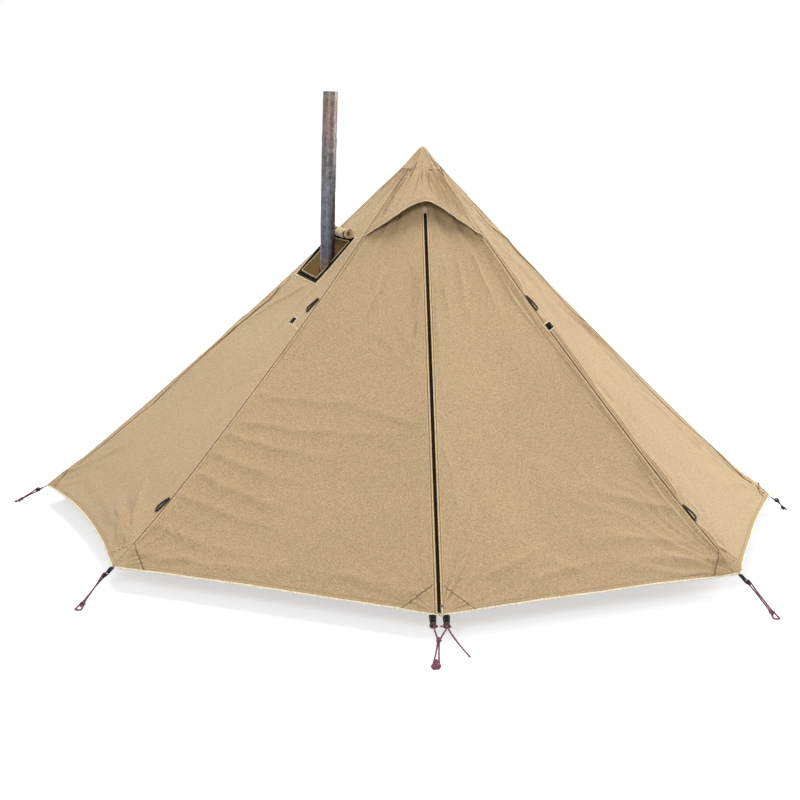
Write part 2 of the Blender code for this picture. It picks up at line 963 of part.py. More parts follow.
def build_front_tie(webbing, cord_look):
    low = cord_radius + gap
    radial = heading(0)
    ends = []
    for sign, name in ((-1, "front_left"), (1, "front_right")):
        k = 7 if sign < 0 else 0
        u = 1 - front_tab_offset / side_length if k == 7 else front_tab_offset / side_length
        corner = cloth_point(k, u, hem_share(k, u)) + radial * front_tab_room
        place = tab_frame(corner, radial, tab_dip)
        outlines, slot_y = tab_outline(front_tab_width, tab_length)
        out = place.to_3x3() @ Vector((0.0, 0.0, 1.0))
        place.translation = place.translation + out * (tab_thick / 2)
        tab = outline_plate("tab_" + name, outlines, tab_thick / 2, webbing, place)
        as_solid(tab)
        ends.append(place @ Vector((0.0, -tab_length - cord_radius - front_cord_room, 0.0)))
    left, right = ends
    middle = (left + right) / 2
    side = Vector((1.0, 0.0, 0.0))
    far = ridge_point(0, 1.0) + radial * front_cord_reach + side * front_cord_shift
    far.z = low
    back = far - radial * peg_loop_radius
    knot = middle.lerp(back, front_knot_share)
    points = [middle + radial * front_cord_bow]
    points.append(right + radial * front_cord_turn)
    points.append(knot + side * cord_spread * front_knot_spread_share)
    points.append(knot.lerp(back, 0.5) + side * cord_spread)
    points.append(back + side * peg_loop_radius * peg_loop_share)
    points.append(far)
    points.append(back - side * peg_loop_radius * peg_loop_share)
    points.append(knot.lerp(back, 0.5) - side * cord_spread)
    points.append(knot - side * cord_spread * front_knot_spread_share)
    points.append(left + radial * front_cord_turn)
    route = smooth_path(points, cord_step, True)
    for spot in route:
        spot.z = max(spot.z, low)
    strand("cord_front", route, cord_radius, cord_look, closed=True)


def build_ties(elastic, square_look):
    """Toggle loops that hold a rolled door, sewn beside the two front ridges."""
    spots = (
        ("tie_left_upper", 6, tie_upper_share, tie_left_slants),
        ("tie_left_lower", 6, tie_lower_share, tie_left_slants),
        ("tie_right_upper", 1, tie_upper_share, tie_right_slants),
        ("tie_right_lower", 1, tie_lower_share, tie_right_slants),
    )
    for name, k, share, slants in spots:
        down_slant, across_slant = slants
        points = []
        high = cloth_thick + rest_room + tie_radius
        for out_share, along_share in tie_route_shares:
            out = tie_length * out_share
            along = tie_width * along_share
            t = share + ((tie_near + out) * down_slant - along * across_slant) / ridge_length
            part = tie_near + out * across_slant + along * down_slant
            part = part / (t * side_length)
            u = 1 - part if k == 6 else part
            points.append(lifted(k, u, t, high))
        strand(name, smooth_path(points, tie_step, True), tie_radius, elastic, closed=True)
    squares = (("square_left", 6, square_left_away), ("square_right", 1, square_right_away))
    for name, k, near in squares:

        def spot(across, down, k=k, near=near):
            t = square_share + square_size * (down - 0.5) / ridge_length
            away = near + square_size * across
            part = away / (t * side_length)
            u = 1 - part if k == 6 else part
            return lifted(k, u, t, cloth_thick + rest_room)

        obj = grid(name, 2, 2, spot, square_look)
        face_out(obj, inner_point)
        solidify(obj, square_thick)


def build_pole(tube_look, plastic, rubber):
    spigot = pole_radius - pole_wall - slide_room
    foot_profile = (
        (0.0, foot_height + foot_spigot),
        (spigot, foot_height + foot_spigot),
        (spigot, foot_height),
        (foot_radius - foot_edge_inset, foot_height),
        (foot_radius, foot_height - foot_edge_drop),
        (foot_radius, 0.0),
        (0.0, 0.0),
    )
    turned("pole_foot", foot_profile, ring_steps, rubber)
    low = foot_height + gap
    turned(
        "pole_lower",
        tube_profile(pole_radius, pole_radius - pole_wall, low, pole_joint_height),
        ring_steps,
        tube_look,
    )
    collar_bore = pole_radius + gap
    top = pole_joint_height
    lip = upper_radius + slide_room
    collar = (
        (collar_radius, top + collar_lip),
        (collar_radius, top - collar_height),
        (collar_bore, top - collar_height),
        (collar_bore, top + gap),
        (lip, top + gap),
        (lip, top + collar_lip),
    )
    turned("pole_collar", collar, ring_steps, plastic)
    tip_top = apex.z - cap_blunt - gap
    shoulder = tip_top - tip_height
    turned(
        "pole_upper",
        tube_profile(
            upper_radius, upper_radius - pole_wall, pole_joint_height - pole_overlap, shoulder - gap
        ),
        ring_steps,
        tube_look,
    )
    plug = upper_radius - pole_wall - gap
    tip = [(0.0, tip_top)]
    for out_share, drop_share in tip_shares:
        tip.append((upper_radius * out_share, tip_top - tip_height * drop_share))
    tip.append((upper_radius, shoulder))
    tip.append((plug, shoulder))
    tip.append((plug, shoulder - tip_plug))
    tip.append((0.0, shoulder - tip_plug))
    turned("pole_tip", tip, ring_steps, plastic)


def build_stove(steel, dark, brass):
    left = flue_x - stove_width / 2
    right = flue_x + stove_width / 2
    rear = flue_y + flue_set_back
    front = rear - stove_depth
    floor = stove_floor
    top = floor + stove_height
    body = box("firebox", (left, front, floor), (right, rear, top), steel)
    bevel(body, box_round, 2)
    hollow = box(
        "firebox_hollow",
        (left + stove_sheet, front + stove_sheet, floor + stove_sheet),
        (right - stove_sheet, rear - stove_sheet, top - stove_sheet),
        None,
    )
    mid_z = floor + stove_height * mouth_middle_share
    mouth = box(
        "firebox_mouth",
        (flue_x - stove_mouth_width / 2, front - mouth_cut_depth, mid_z - stove_mouth_height / 2),
        (flue_x + stove_mouth_width / 2, front + mouth_cut_depth, mid_z + stove_mouth_height / 2),
        None,
    )
    flue_hole = turned(
        "flue_hole",
        rod_profile(pipe_radius - flue_lip, top - flue_cut_depth, top + flue_cut_depth),
        ring_steps,
        None,
        base=(flue_x, flue_y, 0.0),
    )
    socket = pipe_radius + gap
    ring = turned(
        "flue_socket",
        tube_profile(socket + socket_wall, socket, top - weld_bite, top + collar_rise),
        ring_steps,
        None,
        base=(flue_x, flue_y, 0.0),
    )
    cut(body, hollow)
    cut(body, mouth)
    cut(body, flue_hole)
    cut(body, ring, "UNION")
    for sign in (-1, 1):
        ledge_x = flue_x + sign * (stove_width / 2 - stove_sheet - ledge_width / 2 + ledge_bite)
        ledge = box(
            "ledge_" + ("right" if sign > 0 else "left"),
            (
                ledge_x - ledge_width / 2 - ledge_bite,
                front + ledge_inset,
                floor + grate_lift - ledge_thick,
            ),
            (ledge_x + ledge_width / 2, rear - ledge_inset, floor + grate_lift),
            None,
        )
        cut(body, ledge, "UNION")

    # Keeper: a post with a lip that the latch turns in behind.
    face = front - gap
    door_w = stove_mouth_width + 2 * door_overlap
    door_h = stove_mouth_height + 2 * door_overlap
    latch_x = flue_x + door_w / 2 - latch_inset
    keep_x = latch_x + latch_length - latch_heel - keeper_width
    lip_y = face - door_sheet - 2 * gap - latch_thick - gap
    keep_z = mid_z + latch_width / 2 + 2 * gap
    post = box(
        "keeper_post",
        (keep_x, lip_y - keeper_thick, keep_z),
        (keep_x + keeper_width, front + keeper_bite, keep_z + keeper_height),
        None,
    )
    lip = box(
        "keeper_lip",
        (keep_x + keeper_step, lip_y - keeper_thick + keeper_face, mid_z - keeper_height),
        (keep_x + keeper_width - keeper_step, lip_y, keep_z + keeper_height / 2),
        None,
    )
    cut(body, post, "UNION")
    cut(body, lip, "UNION")

    # Leg frames: bent rod, one under each end of the firebox.
    for name, y in (("legs_front", front + leg_inset), ("legs_rear", rear - leg_inset)):
        half = stove_width / 2
        z_top = floor - leg_radius - gap
        low = leg_radius
        points = (
            (flue_x - half - leg_splay - leg_foot, y, low),
            (flue_x - half - leg_splay, y, low),
            (flue_x - half - leg_splay * leg_splay_share, y, low + leg_foot),
            (flue_x - half + leg_shoulder, y, z_top - leg_knee),
            (flue_x - half + leg_foot, y, z_top),
            (flue_x + half - leg_foot, y, z_top),
            (flue_x + half - leg_shoulder, y, z_top - leg_knee),
            (flue_x + half + leg_splay * leg_splay_share, y, low + leg_foot),
            (flue_x + half + leg_splay, y, low),
            (flue_x + half + leg_splay + leg_foot, y, low),
        )
        strand(name, points, leg_radius, dark)

    # Grate: a slotted plate on the ledges.
    grate_low = floor + grate_lift + gap
    plate = box(
        "grate",
        (left + stove_sheet + grate_room, front + grate_inset, grate_low),
        (right - stove_sheet - grate_room, rear - grate_inset, grate_low + grate_thick),
        dark,
    )
    pitch = (stove_depth - 2 * grate_margin) / grate_slots
    slots = bmesh.new()
    for index in range(grate_slots):
        y = front + grate_margin + pitch * (index + 0.5)
        made = bmesh.ops.create_cube(slots, size=1.0)["verts"]
        span = Vector((stove_width * grate_slot_share, grate_slot_width, grate_slot_depth))
        bmesh.ops.scale(slots, vec=span, verts=made)
        bmesh.ops.translate(slots, vec=Vector((flue_x, y, floor + grate_lift)), verts=made)
    cut(plate, add_mesh("grate_slots", slots, None))

    # Door: a plate over the mouth, its hinge knuckle at the left edge.
    d_left = flue_x - door_w / 2
    d_right = flue_x + door_w / 2
    d_low = mid_z - door_h / 2
    d_high = mid_z + door_h / 2
    door = box("stove_door", (d_left, face - door_sheet, d_low), (d_right, face, d_high), steel)
    bevel(door, door_round, 2)
    air_z = d_low + air_rise
    vent = box(
        "air_vent",
        (flue_x - vent_half_width, face - 2 * mouth_cut_depth, air_z - vent_half_height),
        (flue_x + vent_half_width, face + 2 * mouth_cut_depth, air_z + vent_half_height),
        None,
    )
    cut(door, vent)
    hinge_x = d_left - hinge_radius - hinge_side_room
    hinge_y = face - hinge_radius - hinge_back_room
    leaf = box(
        "door_leaf",
        (hinge_x, hinge_y - leaf_step, mid_z - hinge_length / 2 + leaf_trim),
        (d_left + leaf_reach, face - leaf_set_in, mid_z + hinge_length / 2 - leaf_trim),
        None,
    )
    knuckle = turned(
        "door_knuckle",
        rod_profile(hinge_radius, mid_z - hinge_length / 2, mid_z + hinge_length / 2),
        small_steps,
        None,
        base=(hinge_x, hinge_y, 0.0),
    )
    bore = turned(
        "door_bore",
        rod_profile(pin_radius + running, mid_z - hinge_length, mid_z + hinge_length),
        ring_steps,
        None,
        base=(hinge_x, hinge_y, 0.0),
    )

    # Hinge pin with its two brackets, fixed to the firebox front.
    reach = hinge_length / 2 + gap
    pin = turned(
        "hinge_pin",
        rod_profile(pin_radius, mid_z - reach - pin_end, mid_z + reach + pin_end),
        small_steps,
        dark,
        base=(hinge_x, hinge_y, 0.0),
    )
    for sign in (-1, 1):
        z_low = mid_z + sign * (reach + lug_height / 2) - lug_height / 2
        lug = box(
            "lug_" + ("high" if sign > 0 else "low"),
            (hinge_x - lug_half, hinge_y - lug_half, z_low),
            (hinge_x + lug_half, front - gap, z_low + lug_height),
            None,
        )
        cut(pin, lug, "UNION")

    # Latch handle, turning on a stud of the door's right side.
    stud = turned(
        "latch_stud",
        rod_profile(latch_pin_radius, -stud_root, latch_thick + stud_end),
        small_steps,
        None,
        base=(latch_x, face - door_sheet, mid_z),
        tilt=Matrix.Rotation(math.pi / 2, 4, "X"),
    )
    cut(door, stud, "UNION")
    latch_place = Matrix.Translation((latch_x, face - door_sheet - gap - latch_thick / 2, mid_z))
    latch_place = latch_place @ Matrix.Rotation(math.pi / 2, 4, "X")
    arc = []
    bore_r = latch_pin_radius + running
    for index in range(small_steps):
        angle = -2 * math.pi * index / small_steps
        arc.append((bore_r * math.cos(angle), bore_r * math.sin(angle)))
    latch_centre = (0.0, latch_heel - latch_length / 2)
    outer = rounded(latch_width, latch_length, latch_width * latch_round_share, latch_centre)
    latch = outline_plate("latch", (outer, arc), latch_thick / 2, brass, latch_place)
    as_solid(latch)

    # Air slide: a shutter in two rails of the door.
    slide_y = face - door_sheet - gap
    shutter = box(
        "air_slide",
        (flue_x - air_width / 2, slide_y - air_thick, air_z - air_height / 2),
        (flue_x + air_width / 2 - air_trim, slide_y, air_z + air_height / 2),
        dark,
    )
    knob = turned(
        "air_knob",
        rod_profile(knob_radius, 0.0, knob_height),
        small_steps,
        None,
        base=(flue_x - air_width / 2 + knob_inset, slide_y - weld_bite, air_z),
        tilt=Matrix.Rotation(math.pi / 2, 4, "X"),
    )
    cut(shutter, knob, "UNION")
    for sign in (-1, 1):
        edge_z = air_z + sign * (air_height / 2 + gap)
        label = "high" if sign > 0 else "low"
        rail_left = flue_x - air_width / 2 - air_travel * air_rail_share
        rail_right = flue_x + air_width / 2 - rail_end
        lip_front = slide_y - air_thick - gap
        low_z, high_z = sorted((edge_z, edge_z + sign * rail_height))
        rail = box(
            "rail_" + label,
            (rail_left, lip_front - rail_wall, low_z),
            (rail_right, face - rail_bite, high_z),
            None,
        )
        cut(door, rail, "UNION")
        low_z, high_z = sorted((edge_z + sign * brim_bite, edge_z - sign * brim_reach))
        brim = box(
            "brim_" + label,
            (rail_left + brim_trim, lip_front - brim_wall, low_z),
            (rail_right - brim_trim, lip_front, high_z),
            None,
        )
        cut(door, brim, "UNION")
    cut(door, leaf, "UNION")
    cut(door, knuckle, "UNION")
    cut(door, bore)
    return Vector((hinge_x, hinge_y, mid_z)), Vector((latch_x, face, mid_z)), Vector((flue_x, slide_y, air_z))


def build_pipe(steel, hot_steel, dark):
    socket_seat = stove_floor + stove_height + gap
    turned(
        "pipe_lower",
        tube_profile(pipe_radius, pipe_radius - pipe_wall, socket_seat, pipe_joint_height),
        ring_steps,
        hot_steel,
        base=(flue_x, flue_y, 0.0),
    )
    pipe = bpy.data.objects["pipe_lower"]
    bore_reach = pipe_radius * bore_reach_share
    bore = turned(
        "damper_bore",
        rod_profile(damper_shaft_radius + running, -bore_reach, bore_reach),
        small_steps,
        None,
        base=(flue_x, flue_y, damper_height),
        tilt=Matrix.Rotation(math.pi / 2, 4, "X"),
    )
    cut(pipe, bore)

    # The upper section slips over a reduced end of its own into the lower one.
    inner = pipe_radius - pipe_wall - gap
    low = pipe_joint_height - pipe_overlap
    seat = pipe_joint_height + gap
    profile = (
        (pipe_radius, pipe_top),
        (pipe_radius, seat + bead_end),
        (pipe_radius + bead_rise, seat + bead_height),
        (pipe_radius + bead_rise, seat),
        (inner, seat),
        (inner, low),
        (inner - pipe_wall, low),
        (inner - pipe_wall, seat + bead_end),
        (pipe_radius - pipe_wall, seat + bead_inner_end),
        (pipe_radius - pipe_wall, pipe_top),
    )
    turned("pipe_upper", profile, ring_steps, steel, base=(flue_x, flue_y, 0.0))

    # Damper: a disc on a shaft across the lower section, with a wire handle.
    turn = Matrix.Rotation(math.pi / 2, 4, "X")
    disc_radius = pipe_radius - pipe_wall - damper_room
    disc = turned(
        "damper",
        rod_profile(disc_radius, -damper_thick / 2, damper_thick / 2),
        ring_steps,
        dark,
        base=(flue_x, flue_y, damper_height),
        tilt=Matrix.Rotation(math.pi / 2, 4, "Y"),
    )
    shaft = turned(
        "damper_shaft",
        rod_profile(damper_shaft_radius, -pipe_radius - shaft_tail, pipe_radius + shaft_neck),
        small_steps,
        None,
        base=(flue_x, flue_y, damper_height),
        tilt=turn,
    )
    handle = turned(
        "damper_bar",
        rod_profile(damper_shaft_radius * bar_radius_share, -damper_handle / 2, damper_handle / 2),
        small_steps,
        None,
        base=(flue_x, flue_y - pipe_radius - shaft_neck, damper_height),
    )
    cut(disc, shaft, "UNION")
    cut(disc, handle, "UNION")


def set_origin(name, point):
    """Moves an object's origin to a point on its joint axis, its shape staying put."""
    bpy.context.view_layer.update()
    obj = bpy.data.objects[name]
    shift = obj.matrix_world.inverted() @ Vector(point)
    obj.data.transform(Matrix.Translation(-shift))
    obj.matrix_world = obj.matrix_world @ Matrix.Translation(shift)


def main():
    clear_scene()
    canvas = make_material("canvas", (0.56, 0.44, 0.28), 0.85, 0.0)
    canvas_side = make_material("canvas_side", (0.60, 0.48, 0.31), 0.85, 0.0)
    hood_cloth = make_material("hood_cloth", (0.50, 0.39, 0.25), 0.85, 0.0)
    tape = make_material("zip_tape", (0.055, 0.045, 0.038), 0.65, 0.0)
    metal = make_material("zip_metal", (0.16, 0.15, 0.14), 0.35, 1.0)
    pull_cloth = make_material("pull_cloth", (0.60, 0.42, 0.33), 0.80, 0.0)
    heat_cloth = make_material("heat_cloth", (0.22, 0.15, 0.08), 0.80, 0.0)
    black_cloth = make_material("black_cloth", (0.030, 0.028, 0.027), 0.75, 0.0)
    webbing = make_material("webbing", (0.028, 0.028, 0.030), 0.65, 0.0)
    cord_look = make_material("cord", (0.34, 0.24, 0.22), 0.75, 0.0)
    elastic = make_material("elastic", (0.035, 0.033, 0.032), 0.70, 0.0)
    tube_look = make_material("pole_tube", (0.68, 0.69, 0.70), 0.35, 1.0)
    plastic = make_material("plastic", (0.045, 0.045, 0.047), 0.50, 0.0)
    rubber = make_material("rubber", (0.030, 0.030, 0.030), 0.85, 0.0)
    steel = make_material("stove_steel", (0.42, 0.42, 0.43), 0.38, 1.0)
    hot_steel = make_material("pipe_steel", (0.36, 0.36, 0.40), 0.32, 1.0)
    top_steel = make_material("pipe_top_steel", (0.46, 0.42, 0.38), 0.34, 1.0)
    dark = make_material("dark_iron", (0.050, 0.050, 0.052), 0.60, 0.6)
    brass = make_material("latch_brass", (0.62, 0.47, 0.22), 0.35, 1.0)

    panels = build_panels(canvas, canvas_side)
    build_peak_cap(canvas_side)
    build_hood(hood_cloth)
    build_zip(tape, metal, pull_cloth)
    build_jack(panels[6], heat_cloth, black_cloth, canvas_side)
    names = {
        1: "right_front",
        2: "right",
        3: "right_rear",
        4: "rear",
        5: "left_rear",
        6: "left",
        7: "left_front",
    }
    for k, name in names.items():
        build_corner_tie(k, name, webbing, cord_look)
    build_front_tie(webbing, cord_look)
    build_ties(elastic, black_cloth)
    build_pole(tube_look, plastic, rubber)
    hinge_spot, latch_spot, slide_spot = build_stove(steel, dark, brass)
    build_pipe(top_steel, hot_steel, dark)

    left_axis = hinge_axis(7)
    right_axis = hinge_axis(1)
    origins = {
        "door_left": left_axis[0],
        "door_right": right_axis[0],
        "stove_door": hinge_spot,
        "latch": latch_spot,
        "air_slide": slide_spot,
    }
    for name, spot in origins.items():
        set_origin(name, spot)
    for label, axis in (("left", left_axis), ("right", right_axis)):
        spot = tuple(round(value, 6) for value in axis[0])
        turn = tuple(round(value, 6) for value in axis[1])
        print("hinge", label, spot, turn)
    along = (ridge_point(0, 0.0) - ridge_point(0, 1.0)).normalized()
    print("zip run", tuple(round(v, 6) for v in along), round(door_cut(7, 7, 1.0, 0.0), 4))
    pull = bpy.data.objects["zip_pull"].matrix_world
    print("pull", tuple(round(v, 6) for v in pull.translation))
    print("pull axis", tuple(round(v, 6) for v in pull.to_3x3() @ Vector((0, 0, 1))))
    print("flue", round(flue_x, 6), round(flue_y, 6), round(flue_exit, 6))
    print("cloth peak", tuple(round(v, 6) for v in apex))


main()
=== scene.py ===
# Hot tent, dressed: sewn canvas with its creases, seams, hems, zip, hood, stove jack,
# webbing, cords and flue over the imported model.  Metres, +Z up, the zip on the -Y side.
import json
import math

import bmesh
import bpy
import numpy as np
from mathutils import Matrix, Vector

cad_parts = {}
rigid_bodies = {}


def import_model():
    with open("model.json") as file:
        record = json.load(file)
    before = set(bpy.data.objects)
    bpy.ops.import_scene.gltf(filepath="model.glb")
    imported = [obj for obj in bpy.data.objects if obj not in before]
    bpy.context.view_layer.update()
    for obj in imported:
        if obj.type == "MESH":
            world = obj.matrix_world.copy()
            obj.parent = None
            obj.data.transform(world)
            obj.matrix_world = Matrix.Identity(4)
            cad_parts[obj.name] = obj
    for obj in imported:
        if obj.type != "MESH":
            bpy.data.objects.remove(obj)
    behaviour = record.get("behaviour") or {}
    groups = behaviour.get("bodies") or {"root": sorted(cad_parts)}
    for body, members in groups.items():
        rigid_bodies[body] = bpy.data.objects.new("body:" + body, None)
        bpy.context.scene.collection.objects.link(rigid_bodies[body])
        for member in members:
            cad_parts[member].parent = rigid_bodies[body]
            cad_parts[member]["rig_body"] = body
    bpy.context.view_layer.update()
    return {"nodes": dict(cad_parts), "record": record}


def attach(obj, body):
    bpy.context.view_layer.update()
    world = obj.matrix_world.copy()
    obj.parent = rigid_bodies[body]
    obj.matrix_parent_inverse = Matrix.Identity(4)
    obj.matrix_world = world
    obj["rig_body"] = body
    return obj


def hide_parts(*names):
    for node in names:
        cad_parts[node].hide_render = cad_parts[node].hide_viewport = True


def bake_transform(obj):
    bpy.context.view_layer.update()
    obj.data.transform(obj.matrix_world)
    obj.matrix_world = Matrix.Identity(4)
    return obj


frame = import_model()
nodes = frame["nodes"]
upAxis = np.array([0.0, 0.0, 1.0])
print("stage: frame loaded")


# The camera, fitted to the photograph.
cameraSetup = {
    "place": (-0.358, -5.747, 1.585),
    "yaw": 2.9,         # degrees towards +X
    "pitch": 10.73,     # degrees down
    "roll": 1.57,       # degrees
    "lens": 60.26,      # mm on a 36 mm sensor
}


# The camera looks along a yaw and a pitch, then rolls about its own line of sight.
def placeCamera():
    yaw, pitch, roll = [math.radians(cameraSetup[key]) for key in ("yaw", "pitch", "roll")]
    level = Vector((math.sin(yaw), math.cos(yaw), 0.0))
    ahead = level * math.cos(pitch) - Vector((0.0, 0.0, math.sin(pitch)))
    right = Vector((math.cos(yaw), -math.sin(yaw), 0.0))
    up = right.cross(ahead)
    side = right * math.cos(roll) + up * math.sin(roll)
    top = -right * math.sin(roll) + up * math.cos(roll)
    data = bpy.data.cameras.new("camera")
    data.lens = cameraSetup["lens"]
    data.sensor_width = 36.0
    obj = bpy.data.objects.new("camera", data)
    bpy.context.scene.collection.objects.link(obj)
    place = Matrix((side, top, -ahead)).transposed().to_4x4()
    place.translation = Vector(cameraSetup["place"])
    obj.matrix_world = place
    bpy.context.scene.camera = obj


placeCamera()
print("stage: camera placed")


# Small helpers.
def unit(vectors):
    return vectors / np.maximum(np.linalg.norm(vectors, axis=-1, keepdims=True), 1e-12)


# A smooth step from 0 at low to 1 at high.
def ease(value, low, high):
    share = np.clip((value - low) / (high - low), 0.0, 1.0)
    return share * share * (3 - 2 * share)


# A smooth random field of about -1 to 1: a sum of sine waves in seeded directions.
def ripple(x, y, size, seed, count=12):
    rng = np.random.default_rng(seed)
    angles = rng.uniform(0, math.tau, count)
    phases = rng.uniform(0, math.tau, count)
    sizes = size * rng.uniform(0.7, 1.6, count)
    total = 0.0
    for angle, phase, long in zip(angles, phases, sizes):
        total = total + np.sin((x * math.cos(angle) + y * math.sin(angle)) * math.tau / long + phase)
    return total / (0.95 * math.sqrt(count))


# The same along one line: sine waves of seeded lengths.
def wander(x, size, seed, count=7):
    rng = np.random.default_rng(seed)
    phases = rng.uniform(0, math.tau, count)
    sizes = size * rng.uniform(0.6, 1.8, count)
    total = 0.0
    for phase, long in zip(phases, sizes):
        total = total + np.sin(x * math.tau / long + phase)
    return total / (0.9 * math.sqrt(count))


# A whole turn in even steps, without its end.
def turnsOf(count):
    return np.linspace(0, math.tau, count, endpoint=False)


# The way run along the points, from 0 at the first.
def runOf(points):
    return np.concatenate([[0], np.cumsum(np.linalg.norm(np.diff(points, axis=0), axis=-1))])


# Arrays brought to one shape and set side by side in the last axis.
def sideBySide(*parts):
    return np.stack(np.broadcast_arrays(*parts), -1)


def sameShape(u, t):
    return np.broadcast_arrays(np.asarray(u, float), np.asarray(t, float))


# Quads of a grid of rows x columns points, closed round on itself where asked.
def gridFaces(rows, columns, wrapAcross=False, wrapDown=False):
    down = np.arange(rows if wrapDown else rows - 1)[:, None]
    across = np.arange(columns if wrapAcross else columns - 1)[None, :]
    nextDown, nextAcross = (down + 1) % rows, (across + 1) % columns
    corners = (down * columns + across, down * columns + nextAcross,
               nextDown * columns + nextAcross, nextDown * columns + across)
    return np.stack(corners, -1).reshape(-1, 4)


# The two ends of each side of each face.
def edgesOf(faces):
    return np.stack([faces, np.roll(faces, -1, axis=1)], -1).reshape(-1, 2)


# One mesh object from points and any number of face arrays; uv is given per point.
def newMesh(name, points, faceSets, look, uv=None, flatSets=()):
    points = np.asarray(points, float).reshape(-1, 3)
    faceSets = [np.asarray(faces) for faces in faceSets if len(faces)]
    corners = np.concatenate([faces.ravel() for faces in faceSets])
    totals = np.concatenate([np.full(len(faces), faces.shape[1]) for faces in faceSets])
    mesh = bpy.data.meshes.new(name)
    mesh.vertices.add(len(points))
    mesh.vertices.foreach_set("co", points.ravel())
    mesh.loops.add(len(corners))
    mesh.loops.foreach_set("vertex_index", corners.astype(np.int32))
    mesh.polygons.add(len(totals))
    starts = np.concatenate([[0], np.cumsum(totals)[:-1]])
    mesh.polygons.foreach_set("loop_start", starts.astype(np.int32))
    mesh.update(calc_edges=True)
    smooth = [np.full(len(faces), index not in flatSets) for index, faces in enumerate(faceSets)]
    mesh.polygons.foreach_set("use_smooth", np.concatenate(smooth))
    flatFaces = [faceSets[index] for index in flatSets if index < len(faceSets)]
    if flatFaces:
        edges = np.zeros(len(mesh.edges) * 2, np.int32)
        mesh.edges.foreach_get("vertices", edges)
        ends = edges.reshape(-1, 2), np.concatenate([edgesOf(faces) for faces in flatFaces])
        key = np.array([len(points), 1])
        sharp = np.isin(*[np.sort(pair, axis=1).astype(np.int64) @ key for pair in ends])
        mesh.attributes.new("sharp_edge", "BOOLEAN", "EDGE").data.foreach_set("value", sharp)
    if uv is not None:
        layer = mesh.uv_layers.new(name="cut")
        layer.data.foreach_set("uv", np.asarray(uv, float).reshape(-1, 2)[corners].ravel())
    mesh.validate()
    mesh.materials.append(look)
    obj = bpy.data.objects.new(name, mesh)
    bpy.context.scene.collection.objects.link(obj)
    return obj


# A closed sheet: outer faces, the same faces on the inner points turned round, and a
# rim along every open edge, that is an edge whose reverse no other face has.  Without
# faces of its own it is a whole grid, joined up across where it wraps.
def closedSheet(name, outer, inner, look, uv, faces=None, wrap=False):
    if faces is None:
        faces = gridFaces(*outer.shape[:2], wrapAcross=wrap)
    outer, inner = outer.reshape(-1, 3), inner.reshape(-1, 3)
    count = len(outer)
    a, b, c = outer[faces[:, 0]], outer[faces[:, 1]], outer[faces[:, 2]]
    facing = np.einsum("ij,ij->i", np.cross(b - a, c - b), (outer - inner)[faces[:, 0]])
    if facing.sum() < 0:
        faces = faces[:, ::-1]
    ends = edgesOf(faces).astype(np.int64)
    forward, backward = ends @ np.array([count, 1]), ends @ np.array([1, count])
    edge = ends[~np.isin(forward, backward) & (ends[:, 0] != ends[:, 1])]
    rim = np.stack([edge[:, 1], edge[:, 0], edge[:, 0] + count, edge[:, 1] + count], -1)
    uv = np.concatenate([uv.reshape(-1, 2)] * 2)
    points = np.concatenate([outer, inner])
    return newMesh(name, points, [faces, faces[:, ::-1] + count, rim], look, uv, flatSets=(2,))


# A closed body from rings of points: ring i is points[i]; the ends are closed by fans.
def ringBody(name, points, look, uv=None, joined=False):
    rows, columns = points.shape[:2]
    sides = gridFaces(rows, columns, wrapAcross=True, wrapDown=joined)
    sets = [sides]
    flat = points.reshape(-1, 3)
    if uv is None:
        around = np.broadcast_to(np.linspace(0, 1, columns), (rows, columns))
        along = runOf(points.mean(1))
        uv = np.stack([np.broadcast_to(along[:, None], (rows, columns)), around * 0.01], -1)
    uv = uv.reshape(-1, 2)
    if not joined:
        middles = np.stack([points[0].mean(0), points[-1].mean(0)])
        first = np.arange(columns)
        after = (first + 1) % columns
        last = first + (rows - 1) * columns
        lastAfter = after + (rows - 1) * columns
        count = len(flat)
        sets.append(np.stack([after, first, np.full(columns, count)], -1))
        sets.append(np.stack([last, lastAfter, np.full(columns, count + 1)], -1))
        flat = np.concatenate([flat, middles])
        uv = np.concatenate([uv, uv[:1], uv[-1:]])
    middle = points.mean(1)
    row = min(rows // 2, rows - 2)
    a, b, d = points[row, 0], points[row, 1], points[row + 1, 0]
    if np.dot(np.cross(b - a, d - a), a - middle[row]) < 0:
        sets = [faces[:, ::-1] for faces in sets]
    return newMesh(name, flat, sets, look, uv, flatSets=(1, 2))


# Faces turned outward, once doubled points are merged.
def fixFacing(obj):
    work = bmesh.new()
    work.from_mesh(obj.data)
    bmesh.ops.remove_doubles(work, verts=work.verts, dist=0.00001)
    bmesh.ops.recalc_face_normals(work, faces=work.faces)
    work.to_mesh(obj.data)
    work.free()


# Points at even steps along a smooth line through the given ones (Catmull-Rom).
def smoothLine(points, step, closed=False):
    points = np.asarray(points, float)
    count = len(points)
    if closed:
        before, here, after, later = [np.roll(points, -shift, axis=0) for shift in (-1, 0, 1, 2)]
    else:
        padded = np.concatenate([points[:1], points, points[-1:]])
        before, here, after, later = [padded[start:start + count - 1] for start in range(4)]
    s = np.linspace(0, 1, 24, endpoint=False)[None, :, None]
    p0, p1, p2, p3 = [part[:, None, :] for part in (before, here, after, later)]
    dense = 0.5 * (2 * p1 + (p2 - p0) * s + (2 * p0 - 5 * p1 + 4 * p2 - p3) * s ** 2
                   + (3 * p1 - p0 - 3 * p2 + p3) * s ** 3)
    dense = np.concatenate([dense.reshape(-1, 3), points[:1] if closed else points[-1:]])
    run = runOf(dense)
    steps = max(int(round(run[-1] / step)), 8)
    even = np.linspace(0, run[-1], steps + 1)
    if closed:
        even = even[:-1]
    return np.stack([np.interp(even, run, dense[:, axis]) for axis in range(3)], -1)


